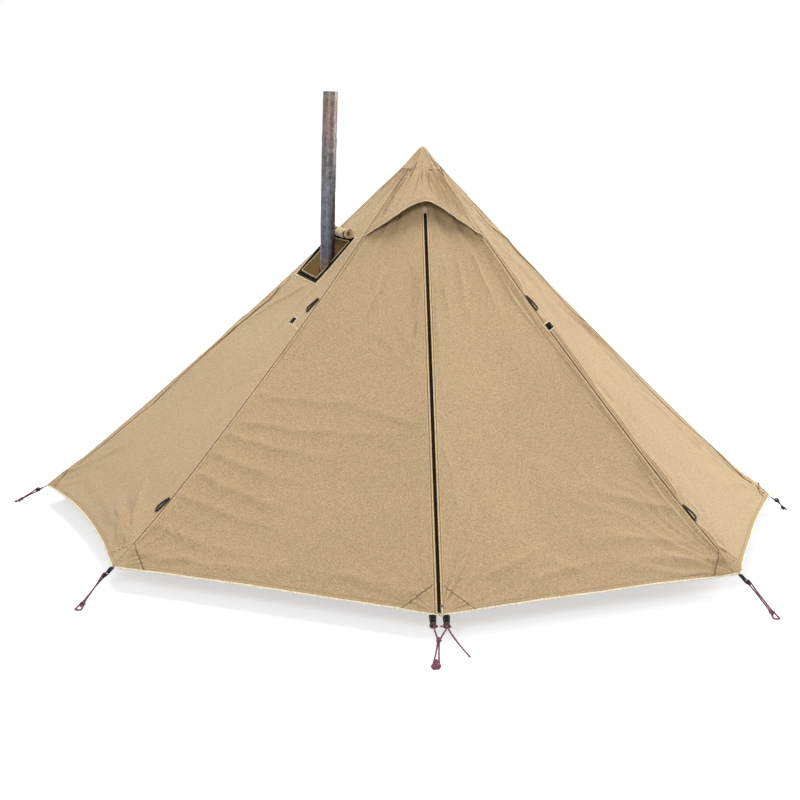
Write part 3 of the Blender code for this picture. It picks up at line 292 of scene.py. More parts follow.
# A tube: at each point of the line a circle stands square to it; the circle's first
# direction is the line's direction crossed with a fixed axis.
def tubeAlong(name, line, radius, look, axis=(0.0, 0.0, 1.0), sides=12, joined=False):
    if joined:
        ahead = unit(np.roll(line, -1, axis=0) - np.roll(line, 1, axis=0))
    else:
        ahead = unit(np.gradient(line, axis=0))
    side = unit(np.cross(ahead, np.asarray(axis, float)))
    top = np.cross(side, ahead)
    turn = turnsOf(sides)[None, :, None]
    radius = np.broadcast_to(np.asarray(radius, float), (len(line),))[:, None, None]
    points = line[:, None] + radius * (np.cos(turn) * side[:, None] + np.sin(turn) * top[:, None])
    run = runOf(line)
    uv = sideBySide(run[:, None], np.linspace(0, 1, sides)[None, :])
    return ringBody(name, points, look, uv, joined)


# Materials.
def addNode(tree, kind, settings=None, **feeds):
    made = tree.nodes.new(kind)
    for key, value in (settings or {}).items():
        setattr(made, key, value)
    for key, value in feeds.items():
        feed(tree, made.inputs[key.replace("_", " ")], value)
    return made


# A socket is linked, and a plain value set on it.
def feed(tree, socket, value):
    if isinstance(value, bpy.types.NodeSocket):
        tree.links.new(value, socket)
    else:
        socket.default_value = value


def maths(tree, kind, first, second=0.0, third=0.0):
    made = tree.nodes.new("ShaderNodeMath")
    made.operation = kind
    for socket, value in zip(made.inputs, (first, second, third)):
        feed(tree, socket, value)
    return made.outputs[0]


def times(tree, one, two):
    return maths(tree, "MULTIPLY", one, two)


def timesPlus(tree, one, two, more):
    return maths(tree, "MULTIPLY_ADD", one, two, more)


# A value that falls smoothly from high at near to low at far.
def falls(tree, value, near, far, low=0.0, high=1.0):
    return addNode(tree, "ShaderNodeMapRange", {"interpolation_type": "SMOOTHSTEP"}, Value=value,
                   From_Min=near, From_Max=far, To_Min=high, To_Max=low).outputs[0]


# How far two values are from each other.
def apart(tree, one, two):
    return maths(tree, "ABSOLUTE", maths(tree, "SUBTRACT", one, two))


# A sine wave whose crests are a pitch apart.
def wave(tree, value, pitch):
    return maths(tree, "SINE", times(tree, value, math.tau / pitch))


def scaled(tree, colour, factor):
    made = addNode(tree, "ShaderNodeVectorMath", {"operation": "SCALE"}, Vector=colour, Scale=factor)
    return made.outputs[0]


def mixColours(tree, share, first, second):
    made = tree.nodes.new("ShaderNodeMix")
    made.data_type = "RGBA"
    for index, value in ((0, share), (6, first), (7, second)):
        feed(tree, made.inputs[index], value)
    return made.outputs[2]


def noiseOf(tree, where, scale, detail=3.0, roughness=0.5, distortion=0.0):
    return addNode(tree, "ShaderNodeTexNoise", Vector=where, Scale=scale, Detail=detail,
                   Roughness=roughness, Distortion=distortion).outputs["Fac"]


# A material whose shader starts from one colour and one gloss.
def newLook(name, colour, roughness, metallic=0.0):
    look = bpy.data.materials.new(name)
    look.use_nodes = True
    tree = look.node_tree
    shader = tree.nodes["Principled BSDF"]
    shader.inputs["Base Color"].default_value = (*colour, 1.0)
    shader.inputs["Roughness"].default_value = roughness
    shader.inputs["Metallic"].default_value = metallic
    return look, tree


def objectPlace(tree):
    return addNode(tree, "ShaderNodeTexCoord").outputs["Object"]


# Metres along and across a piece's own cut.
def cutPlace(tree):
    cut = addNode(tree, "ShaderNodeUVMap", {"uv_map": "cut"}).outputs[0]
    return addNode(tree, "ShaderNodeSeparateXYZ", Vector=cut).outputs[:2]


# Bumps are laid one over another: before is the one underneath.
def addBump(tree, height, distance, strength, before=None):
    made = addNode(tree, "ShaderNodeBump", Height=height, Distance=distance, Strength=strength)
    if before is not None:
        feed(tree, made.inputs["Normal"], before)
    return made.outputs[0]


# Rows of stitches: how near a point is to a row, and to a stitch's thread along it.
def sewnRows(tree, along, across, rows, rowEdges, pitch, threadEdges):
    lines = [falls(tree, apart(tree, across, row), *rowEdges) for row in rows]
    groove = lines[0]
    for line in lines[1:]:
        groove = maths(tree, "MAXIMUM", groove, line)
    beat = maths(tree, "FRACT", maths(tree, "DIVIDE", along, pitch))
    return groove, falls(tree, apart(tree, beat, 0.5), *threadEdges)


# Colour, bump and any other values go to the shader's own sockets.
def finishLook(look, tint, bump, **others):
    sockets = look.node_tree.nodes["Principled BSDF"].inputs
    for key, value in {"Base_Color": tint, "Normal": bump, **others}.items():
        feed(look.node_tree, sockets[key.replace("_", " ")], value)
    return look


canvasFinish = {
    "roughness": 0.86,
    "grainScale": 235.0,      # noise scales, per metre
    "mottleScale": 26.0,
    "washScale": 2.3,
    "crumpleScale": 52.0,
    "weavePitch": 0.0011,     # metres between threads
    "weaveDepth": 0.00022,
    "grain": 0.74,            # how much the fine grain darkens or lightens
    "mottle": 0.03,
    "wash": 0.06,            # broad, slow changes over a panel
    "stitchPitch": 0.004,
    # Rows of stitches are mixed towards the stitch colour by stitchShade: thread colour plus painted
    # shade in the sewn groove.
    "stitchShade": 0.55,      # how dark a row of stitches reads
    "stitchWidth": 0.003,
}


# Cotton canvas: colour times (1 + grain + mottle + wash), with a woven bump, rows of
# stitches at given distances across the cut, whose grooves are darkened as painted shade,
# and bands of painted shade and painted highlight, a factor darker or lighter about given
# distances from the cut's middle line.
def canvasLook(name, colour, rows=(), bands=(), stitchColour=(0.25, 0.17, 0.09), weave=1.0):
    finish = canvasFinish
    look, tree = newLook(name, colour, finish["roughness"])
    where = objectPlace(tree)
    along, across = cutPlace(tree)
    grain = noiseOf(tree, where, finish["grainScale"], 2.0)
    mottle = noiseOf(tree, where, finish["mottleScale"])
    wash = noiseOf(tree, where, finish["washScale"], 2.0)
    factor = timesPlus(tree, grain, finish["grain"] * 2, 1.0 - finish["grain"])
    factor = timesPlus(tree, mottle, finish["mottle"] * 2, factor)
    factor = timesPlus(tree, wash, finish["wash"] * 2, factor)
    factor = maths(tree, "SUBTRACT", factor, finish["mottle"] + finish["wash"])
    # Painted shade and painted highlight: each band darkens or lightens the colour near a line along a
    # sewn strip, where its edges and folds would be shaded or lit.
    for place, half, change in bands:
        off = apart(tree, maths(tree, "ABSOLUTE", across), place)
        factor = times(tree, factor, falls(tree, off, half * 0.6, half * 1.4, 1.0, change))
    tint = scaled(tree, colour, factor)
    woven = times(tree, *[wave(tree, way, finish["weavePitch"]) for way in (along, across)])
    bump = addBump(tree, noiseOf(tree, where, finish["crumpleScale"], 4.0, 0.6), 0.003, 0.22)
    bump = addBump(tree, grain, 0.0016, 0.55, bump)
    bump = addBump(tree, woven, finish["weaveDepth"] * weave, 0.5, bump)
    if rows:
        groove, thread = sewnRows(tree, along, across, rows, (0.0, finish["stitchWidth"]),
                                  finish["stitchPitch"], (0.3, 0.46))
        # Painted shade: along each row the colour is mixed towards the stitch colour, standing for the
        # thread and for the shade in its groove.
        shade = timesPlus(tree, thread, 0.25, finish["stitchShade"])
        tint = mixColours(tree, times(tree, groove, shade), tint, (*stitchColour, 1.0))
        height = timesPlus(tree, times(tree, groove, thread), 0.55, times(tree, groove, -1.0))
        bump = addBump(tree, height, 0.0012, 0.7, bump)
    return finishLook(look, tint, bump, Specular_IOR_Level=0.2, Sheen_Weight=0.04, Sheen_Roughness=0.6)


# Ribbed webbing or tape: ribs across the width, fine threads along it, worn high spots.
def webbingLook(name, colour, pitch=0.0014, rows=(), roughness=0.68, thread=(0.2, 0.18, 0.16)):
    look, tree = newLook(name, colour, roughness)
    along, across = cutPlace(tree)
    ribs = wave(tree, across, pitch)
    picks = wave(tree, along, pitch * 0.7)
    checked = times(tree, times(tree, ribs, picks), 0.5)
    woven = timesPlus(tree, ribs, 0.6, checked)
    wear = noiseOf(tree, objectPlace(tree), 160.0)
    lift = timesPlus(tree, woven, 0.16, timesPlus(tree, wear, 0.7, 0.65))
    tint = scaled(tree, colour, lift)
    bump = addBump(tree, woven, 0.0003, 0.6)
    if rows:
        line = times(tree, *sewnRows(tree, along, across, rows, (0.0002, 0.0009), 0.003, (0.3, 0.42)))
        tint = mixColours(tree, line, tint, (*thread, 1.0))
        bump = addBump(tree, line, 0.0004, 0.6, bump)
    return finishLook(look, tint, bump, Specular_IOR_Level=0.02)


# Braided cord: two sets of strands wind round it in opposite turns; flecks of a second
# colour sit on some of the strands.
def cordLook(name, colour, fleck, share=0.5, pitch=0.01, strands=3):
    look, tree = newLook(name, colour, 0.72)
    along, around = cutPlace(tree)
    turns = maths(tree, "DIVIDE", along, pitch)
    one, two = [wave(tree, maths(tree, kind, turns, around), 1 / strands)
                for kind in ("ADD", "SUBTRACT")]
    patchy = noiseOf(tree, objectPlace(tree), 260.0, 2.0)
    mask = times(tree, falls(tree, patchy, share + 0.06, share - 0.06), falls(tree, one, 0.9, -0.3))
    tint = mixColours(tree, mask, (*colour, 1.0), (*fleck, 1.0))
    bump = addBump(tree, maths(tree, "MAXIMUM", one, two), 0.0006, 0.8)
    return finishLook(look, tint, bump, Specular_IOR_Level=0.15)


# Bare metal: slow and fine noise change its colour and its roughness, with scuffs.
def metalLook(name, colour, roughness, spread=0.18, scale=40.0, metallic=1.0, second=None):
    look, tree = newLook(name, colour, roughness, metallic)
    where = objectPlace(tree)
    cloud = noiseOf(tree, where, scale, 4.0, 0.6)
    fine = noiseOf(tree, where, scale * 9, 2.0)
    second = second or tuple(part * (1 - spread) for part in colour)
    tint = mixColours(tree, falls(tree, cloud, 0.62, 0.38), (*colour, 1.0), (*second, 1.0))
    rough = timesPlus(tree, fine, 0.1, roughness - 0.15)
    rough = timesPlus(tree, cloud, 0.22, rough)
    return finishLook(look, tint, addBump(tree, fine, 0.0002, 0.35), Roughness=rough)


# Moulded plastic or rubber: a fine grain and slightly uneven gloss.
def mouldedLook(name, colour, roughness, **others):
    look, tree = newLook(name, colour, roughness)
    where = objectPlace(tree)
    cloud = noiseOf(tree, where, 30.0, 2.0)
    tint = scaled(tree, colour, timesPlus(tree, cloud, 0.5, 0.75))
    rough = timesPlus(tree, cloud, 0.2, roughness - 0.1)
    bump = addBump(tree, noiseOf(tree, where, 900.0, 2.0), 0.0001, 0.3)
    return finishLook(look, tint, bump, Roughness=rough, **others)


# Heat-tinted flue steel: height z picks a tint from straw and rose at the top through
# bare grey to blue and violet near the jack, and brown at the foot, a painted reflection
# of the brown jack cloth round it; streaks and spangle break it up.
flueTints = {
    "bands": (  # height, linear colour
        # Painted reflection: the two lowest, brown stops stand for the brown jack cloth reflected in the
        # pipe's foot.
        (1.05, (0.075, 0.05, 0.022)),
        (1.115, (0.066, 0.048, 0.03)),
        (1.14, (0.056, 0.05, 0.078)),
        (1.2, (0.066, 0.065, 0.088)),
        (1.32, (0.086, 0.088, 0.098)),
        (1.46, (0.084, 0.082, 0.088)),
        (1.58, (0.108, 0.086, 0.084)),
        (1.69, (0.13, 0.092, 0.084)),
        (1.765, (0.135, 0.1, 0.078)),
        (1.79, (0.12, 0.102, 0.09)),
    ),
    "spangle": 90.0,
    "streak": 34.0,
}


# The ramp is read at the height, shifted a little by noise; each facet of a cell pattern
# is a little lighter or darker than the next.
def flueLook(name):
    look, tree = newLook(name, (0.2, 0.2, 0.2), 0.42, 0.75)
    where = objectPlace(tree)
    height = addNode(tree, "ShaderNodeSeparateXYZ", Vector=where).outputs[2]
    cloud = noiseOf(tree, where, flueTints["streak"], 4.0, 0.65, 0.6)
    bands = flueTints["bands"]
    low, high = bands[0][0], bands[-1][0]
    shifted = timesPlus(tree, cloud, 0.06, maths(tree, "SUBTRACT", height, 0.03))
    share = maths(tree, "DIVIDE", maths(tree, "SUBTRACT", shifted, low), high - low)
    ramp = tree.nodes.new("ShaderNodeValToRGB")
    stops = ramp.color_ramp.elements
    while len(stops) < len(bands):
        stops.new(0.5)
    for stop, (place, colour) in zip(stops, bands):
        stop.position = (place - low) / (high - low)
        stop.color = (*colour, 1.0)
    feed(tree, ramp.inputs[0], share)
    spangle = addNode(tree, "ShaderNodeTexVoronoi", Vector=where, Scale=flueTints["spangle"])
    facet = addNode(tree, "ShaderNodeSeparateColor", Color=spangle.outputs["Color"]).outputs[0]
    lift = timesPlus(tree, facet, 0.6, timesPlus(tree, cloud, 1.7, 0.0))
    rough = timesPlus(tree, facet, 0.22, 0.3)
    bump = addBump(tree, noiseOf(tree, where, 60.0, 4.0, 0.6), 0.0012, 0.5)
    bump = addBump(tree, facet, 0.0003, 0.3, bump)
    return finishLook(look, scaled(tree, ramp.outputs[0], lift), bump, Roughness=rough)


colours = {  # linear
    "canvas": (0.505, 0.366, 0.208),
    # Painted light: the side panels' canvas is the door canvas made a little lighter.
    "canvasSidePaintedLight": (0.526, 0.388, 0.23),
    # Painted shade: the hood's canvas is the door canvas made a little darker.
    "hood": (0.486, 0.356, 0.206),
    # The binding is cream cloth, made lighter still as painted highlight, since the bead under the hem
    # band gets little light.
    "binding": (0.9, 0.81, 0.62),
    "piping": (0.72, 0.59, 0.39),
    "tape": (0.01, 0.0065, 0.0035),
    "teeth": (0.022, 0.014, 0.007),
    "pull": (0.74, 0.62, 0.44),
    # The head tab's own tone is lighter than the canvas, and it is made lighter still as painted light
    # against the hood's shadow over it.
    "headTab": (0.68, 0.5, 0.35),
    "heatCloth": (0.14, 0.088, 0.034),
    "blackCloth": (0.011, 0.007, 0.004),
    "webbing": (0.017, 0.016, 0.016),
    "cord": (0.165, 0.048, 0.078),
    "cordFleck": (0.48, 0.25, 0.29),
    "darkCord": (0.02, 0.017, 0.018),
    "elastic": (0.022, 0.016, 0.012),
}
canvas = canvasLook("canvas", colours["canvas"])
# The side canvas is a lighter copy of the door canvas, as painted light, and the hood cloth is a darker
# copy, as painted shade.
canvasSidePaintedLight = canvasLook("canvas side painted lighter", colours["canvasSidePaintedLight"])
hoodClothPaintedShade = canvasLook("hood cloth painted darker", colours["hood"], rows=(0.012, 0.024))
# Painted shade and painted highlight along a sewn strip, standing for the shade at its edges,
# gaps and folds and the light on its raised folds: distance from its middle line, half width,
# factor darker or lighter.
paintedShadeBandsOf = {
    "seam": ((0.0024, 0.0032, 0.22), (0.009, 0.0026, 1.3)),
    "flap": ((0.0014, 0.003, 0.24), (0.007, 0.0024, 1.2), (0.0135, 0.0022, 0.62),
             (0.0185, 0.002, 1.18), (0.0232, 0.0018, 0.6), (0.0285, 0.003, 1.45)),
    "sideFlap": ((0.002, 0.0024, 0.45), (0.035, 0.0032, 1.3), (0.0402, 0.0018, 0.36)),
    "patch": ((0.001, 0.0022, 0.54), (0.0058, 0.002, 1.16)),
    "facing": ((0.0072, 0.0028, 1.5), (0.0135, 0.0019, 0.38), (0.018, 0.0018, 1.2)),
    "edge": ((0.0004, 0.0016, 0.35), (0.0048, 0.0024, 1.35)),
}
# Each of these cloths carries painted shade and painted highlight bands from the table above.
seamClothPaintedShade = canvasLook("seam cloth painted shade", colours["canvasSidePaintedLight"], bands=paintedShadeBandsOf["seam"])
flapClothPaintedShade = canvasLook("flap cloth painted shade", colours["canvas"], bands=paintedShadeBandsOf["flap"])
sideFlapClothPaintedShade = canvasLook("side flap cloth painted shade", colours["canvasSidePaintedLight"], bands=paintedShadeBandsOf["sideFlap"])
hemCloth = canvasLook("hem cloth", colours["canvas"], rows=(-0.0165,), stitchColour=(0.38, 0.27, 0.15))
patchClothPaintedShade = canvasLook("patch cloth painted shade", colours["canvas"], bands=paintedShadeBandsOf["patch"])
# The zip facing's bands: painted highlight on its fold edges and painted shade lines between them.
facing = canvasLook("zip facing painted shade", colours["canvas"], bands=paintedShadeBandsOf["facing"])
edgeClothPaintedShade = canvasLook("edge cloth painted shade", colours["canvas"], bands=paintedShadeBandsOf["edge"])
piping = canvasLook("piping", colours["piping"], weave=0.6)
# The binding's colour carries painted highlight along the hems.
binding = canvasLook("binding", colours["binding"], weave=0.6)
zipTape = webbingLook("zip tape", colours["tape"], 0.0009)
teethLook = mouldedLook("zip teeth", colours["teeth"], 0.5, Specular_IOR_Level=0.02)
pullTape = webbingLook("pull tape", colours["pull"], 0.001, rows=(0.0012, 0.0068),
                       thread=(0.3, 0.22, 0.15))
# The head tab cloth carries painted light against the hood's shadow.
headTabLookPaintedLight = canvasLook("head tab cloth painted light", colours["headTab"], rows=(0.0035, 0.0295),
                         stitchColour=(0.2, 0.12, 0.08))
heatCloth = webbingLook("heat cloth", colours["heatCloth"], 0.0022, roughness=0.8)
blackCloth = webbingLook("border cloth", colours["blackCloth"], 0.0016, rows=(0.003, 0.021),
                         thread=(0.34, 0.27, 0.17))
webbing = webbingLook("webbing", colours["webbing"], 0.002, rows=(-0.008, 0.008))
cordCloth = cordLook("cord cloth", colours["cord"], colours["cordFleck"])
darkCord = cordLook("dark cord cloth", colours["darkCord"], (0.16, 0.1, 0.09), 0.42)
elastic = cordLook("elastic cloth", colours["elastic"], (0.1, 0.085, 0.07), 0.46, 0.006)
flueSteel = flueLook("flue steel")
lowerSteel = metalLook("lower flue steel", (0.2, 0.2, 0.225), 0.4, second=(0.13, 0.12, 0.17))
stoveSteel = metalLook("stove steel", (0.3, 0.3, 0.31), 0.42, second=(0.2, 0.17, 0.15), scale=22.0)
darkIron = metalLook("dark iron", (0.05, 0.05, 0.052), 0.62, metallic=0.6, second=(0.085, 0.065, 0.055))
brass = metalLook("brass", (0.62, 0.47, 0.22), 0.34, scale=70.0)
sliderMetal = metalLook("slider metal", (0.16, 0.15, 0.14), 0.34, scale=150.0)
poleMetal = metalLook("pole metal", (0.66, 0.67, 0.68), 0.34, 0.1, 60.0)
plastic = mouldedLook("moulded plastic", (0.045, 0.045, 0.047), 0.48)
rubber = mouldedLook("rubber", (0.03, 0.03, 0.03), 0.82)
print("stage: materials made")


# Ridge k runs from the peak down to corner k, ridge 0 being the zip, counted
# anticlockwise from above; panel k lies between ridge k and ridge k + 1.  On a panel, u
# runs from 0 to 1 across and t from 0 at the peak to 1 at the corners.
tent = {
    "radius": 1.6, "drop": 1.5, "lift": 0.085, "sides": 8,
    "sag": 0.048, "sagShares": (0.0, 0.8, 0.62, 0.58, 0.58, 0.58, 0.58, 1.0),
    "sagReach": 0.45, "sagPower": 1.5, "footPower": 8,
    "belly": 0.012, "hemRise": 0.044,
    "hemShares": (0.14, 0.32, 0.6, 0.6, 0.6, 0.6, 1.0, 0.14),
    "topShare": 0.03, "neck": 0.007, "neckShare": 0.045,
    "outer": 0.002,     # the canvas's outer face above the surface
    "inner": 0.0008,
    "sunk": 0.0002,      # how deep sewn pieces reach into the outer face
}
slope = math.hypot(tent["radius"], tent["drop"])
hemLength = 2 * tent["radius"] * math.sin(math.pi / tent["sides"])
inward, downward = tent["drop"] / slope, tent["radius"] / slope
peakHeight = tent["lift"] + tent["drop"]


# Level direction of corner k: the zip's at -Y, each next one an eighth of a turn on.
def heading(k):
    angle = -math.pi / 2 + math.tau * (k % tent["sides"]) / tent["sides"]
    return np.array([math.cos(angle), math.sin(angle), 0.0])


# Square to ridge k, away from the tent.
def outward(k):
    return heading(k) * inward + upAxis * downward


# Straight from the peak to the corner, let in by the sag, which grows over the first
# part of the ridge and fades at the corner, and by a neck just under the peak.
def ridgePoint(k, t):
    t = np.asarray(t, float)
    rise = np.sin(math.pi / 2 * np.clip(t / tent["sagReach"], 0, 1)) ** tent["sagPower"]
    settle = 1 - np.minimum(t, 1) ** tent["footPower"]
    sag = tent["sag"] * tent["sagShares"][k % tent["sides"]] * rise * settle
    sag = sag + tent["neck"] * t / tent["neckShare"] * np.exp(1 - t / tent["neckShare"])
    out = tent["radius"] * t - sag * inward
    high = peakHeight - tent["drop"] * t - sag * downward
    return out[..., None] * heading(k) + high[..., None] * upAxis


# The crossed directions of the two ridges, turned upward.
def flatNormal(k):
    one = heading(k) * tent["radius"] - upAxis * tent["drop"]
    two = heading(k + 1) * tent["radius"] - upAxis * tent["drop"]
    normal = unit(np.cross(one, two))
    return normal if normal[2] > 0 else -normal


# Straight across between the two ridges, let in by a shallow belly.
def clothBase(k, u, t):
    u, t = sameShape(u, t)
    one, two = ridgePoint(k, t), ridgePoint(k + 1, t)
    belly = tent["belly"] * 4 * u * (1 - u) * np.sin(math.pi * np.clip(t, 0, 1))
    return one + (two - one) * u[..., None] - belly[..., None] * flatNormal(k)


# The crossed small steps over the smooth surface, turned outward.
def clothNormal(k, u, t):
    step = 0.004
    across = clothBase(k, u + step, t) - clothBase(k, u - step, t)
    down = clothBase(k, u, t + step) - clothBase(k, u, t - step)
    normal = unit(np.cross(across, down))
    return normal * np.where(normal @ flatNormal(k) > 0, 1.0, -1.0)[..., None]


# The hem's share t: the corners' line let up by a shallow bow.
def hemShare(k, u):
    rise = tent["hemRise"] * tent["hemShares"][k % tent["sides"]]
    return 1 - rise / slope * 4 * u * (1 - u)


door = {"headShare": 0.262, "hingeLift": 0.0026}


# The share t where panel k crosses the plane square to the hinge's ridge at the door's
# head, found by halving.
def doorCut(k, hinge, u):
    foot = ridgePoint(hinge, 1.0) + outward(hinge) * door["hingeLift"]
    head = ridgePoint(hinge, door["headShare"]) + outward(hinge) * door["hingeLift"]
    uphill = unit(head - foot)
    u = np.asarray(u, float)
    low, high = np.full(u.shape, 0.1), np.full(u.shape, 0.7)
    for _ in range(36):
        middle = (low + high) / 2
        above = (clothBase(k, u, middle) - head) @ uphill > 0
        low, high = np.where(above, middle, low), np.where(above, high, middle)
    return (low + high) / 2


# Creases.
crease = {
    "gather": 0.0078, "gatherReach": 0.34,      # pleats that fan out from the peak
    "corner": 0.0032, "cornerReach": 0.4,      # pull lines into each pegged corner
    "pucker": 0.0007, "puckerSize": 0.03, "puckerReach": 0.028,
    "swell": 0.003, "swellSize": 0.42, "single": 2.3, "crest": 0.42, "pleat": 2.0,
    "rumple": 0.0005, "rumpleSize": 0.09,
    "lock": 0.01, "zipLock": 0.024,            # flat strips along the seams and the zip
}
# Long pleats beside a ridge, by panel: side (0 for ridge k, 1 for ridge k + 1), distance
# from the ridge, half width, height.
ridgePleats = {
    0: (
        (1, 0.019, 0.0055, 0.005), (1, 0.034, 0.006, -0.004), (1, 0.05, 0.007, 0.0046),
    ),
    1: (
        (0, 0.065, 0.016, 0.005), (0, 0.11, 0.018, -0.004), (0, 0.16, 0.02, 0.0048),
        (0, 0.22, 0.024, -0.0036), (0, 0.29, 0.026, 0.0036), (1, 0.05, 0.016, 0.005),
        (1, 0.11, 0.022, -0.0045), (1, 0.17, 0.024, 0.004),
    ),
    2: (
        (0, 0.024, 0.008, 0.0026), (1, 0.022, 0.008, 0.0022),
    ),
    3: (
        (0, 0.02, 0.008, -0.002), (1, 0.026, 0.009, 0.0022),
    ),
    4: (
        (0, 0.024, 0.009, 0.002), (1, 0.022, 0.008, -0.002),
    ),
    5: (
        (0, 0.028, 0.009, 0.0024), (1, 0.022, 0.008, 0.0026),
    ),
    6: (
        (0, 0.024, 0.007, 0.0034), (0, 0.052, 0.011, -0.0026), (1, 0.02, 0.007, 0.0012),
    ),
    7: (
        (0, 0.016, 0.007, -0.001),
    ),
}
# Single creases, by panel: from u, t, to u, t, bend, half width, height.  A crease is
# strongest at its first end.
singleCreases = {
    0: (
        (0.98, 0.97, 0.6, 0.945, 0.012, 0.018, 0.0036),
        (0.3, 0.962, 0.62, 0.94, -0.01, 0.02, 0.0032),
        (0.16, 0.945, 0.4, 0.895, 0.008, 0.014, 0.0034),
        (0.9, 0.92, 0.5, 0.9, 0.014, 0.022, 0.0026),
        (0.97, 0.86, 0.55, 0.8, 0.02, 0.024, 0.0022),
        (0.09, 0.33, 0.06, 0.56, 0.006, 0.01, 0.0026),
        (0.22, 0.3, 0.17, 0.47, 0.008, 0.012, 0.003),
        (0.42, 0.29, 0.36, 0.43, 0.008, 0.014, 0.0032),
        (0.66, 0.27, 0.66, 0.42, 0.006, 0.014, 0.0034),
        (0.05, 0.7, 0.1, 0.9, -0.006, 0.009, 0.0018),
    ),
    1: (
        (0.99, 0.965, 0.5, 0.885, 0.01, 0.016, 0.0044),
        (0.95, 0.982, 0.34, 0.955, 0.008, 0.014, -0.0036),
        (0.7, 0.985, 0.16, 0.972, 0.006, 0.012, 0.003),
        (0.02, 0.965, 0.28, 0.86, 0.01, 0.014, 0.003),
        (0.94, 0.44, 0.88, 0.8, 0.01, 0.016, 0.0028), (0.3, 0.26, 0.2, 0.6, 0.01, 0.016, 0.003),
    ),
    6: (
        (0.955, 0.957, 0.56, 0.915, 0.002, 0.016, 0.008),
        (0.965, 0.952, 0.64, 0.855, 0.004, 0.016, 0.008),
        (0.955, 0.955, 0.62, 0.895, 0.0, 0.01, -0.005),
        (0.94, 0.962, 0.3, 0.93, 0.01, 0.016, 0.004),
        (0.47, 0.362, 0.02, 0.54, 0.016, 0.012, 0.0036),
        (0.68, 0.36, 0.6, 0.55, 0.008, 0.014, 0.0026),
        (0.1, 0.355, 0.04, 0.62, 0.01, 0.012, 0.003),
        (0.02, 0.96, 0.3, 0.78, 0.012, 0.016, 0.0036),
        (0.99, 0.56, 0.6, 0.64, 0.02, 0.02, 0.002),
    ),
    7: (
        (0.02, 0.673, 0.95, 0.673, 0.02, 0.016, 0.003),
        (0.01, 0.702, 0.66, 0.735, 0.016, 0.018, 0.0034),
        (0.01, 0.742, 0.55, 0.79, 0.02, 0.018, 0.0034),
        (0.01, 0.789, 0.64, 0.86, 0.018, 0.02, 0.0036),
        (0.01, 0.836, 0.52, 0.885, 0.018, 0.018, 0.0034),
        (0.0, 0.902, 0.5, 0.948, 0.022, 0.02, 0.0038),
        (0.02, 0.965, 0.55, 0.964, 0.01, 0.016, 0.004),
        (0.95, 0.968, 0.4, 0.955, 0.012, 0.02, 0.003),
        (0.02, 0.612, 0.7, 0.612, 0.014, 0.016, 0.0026),
        (0.93, 0.655, 0.45, 0.6, -0.014, 0.018, 0.003),
        (0.83, 0.29, 0.915, 0.56, 0.004, 0.01, 0.0032),
        (0.72, 0.41, 0.93, 0.56, 0.006, 0.012, 0.003),
        (0.6, 0.462, 0.925, 0.565, -0.01, 0.014, 0.0028),
        (0.95, 0.94, 0.875, 0.7, 0.004, 0.008, 0.0022),
        (0.93, 0.33, 0.9, 0.62, 0.006, 0.008, -0.0024),
        (0.55, 0.315, 0.5, 0.46, 0.01, 0.016, 0.0024),
    ),
}


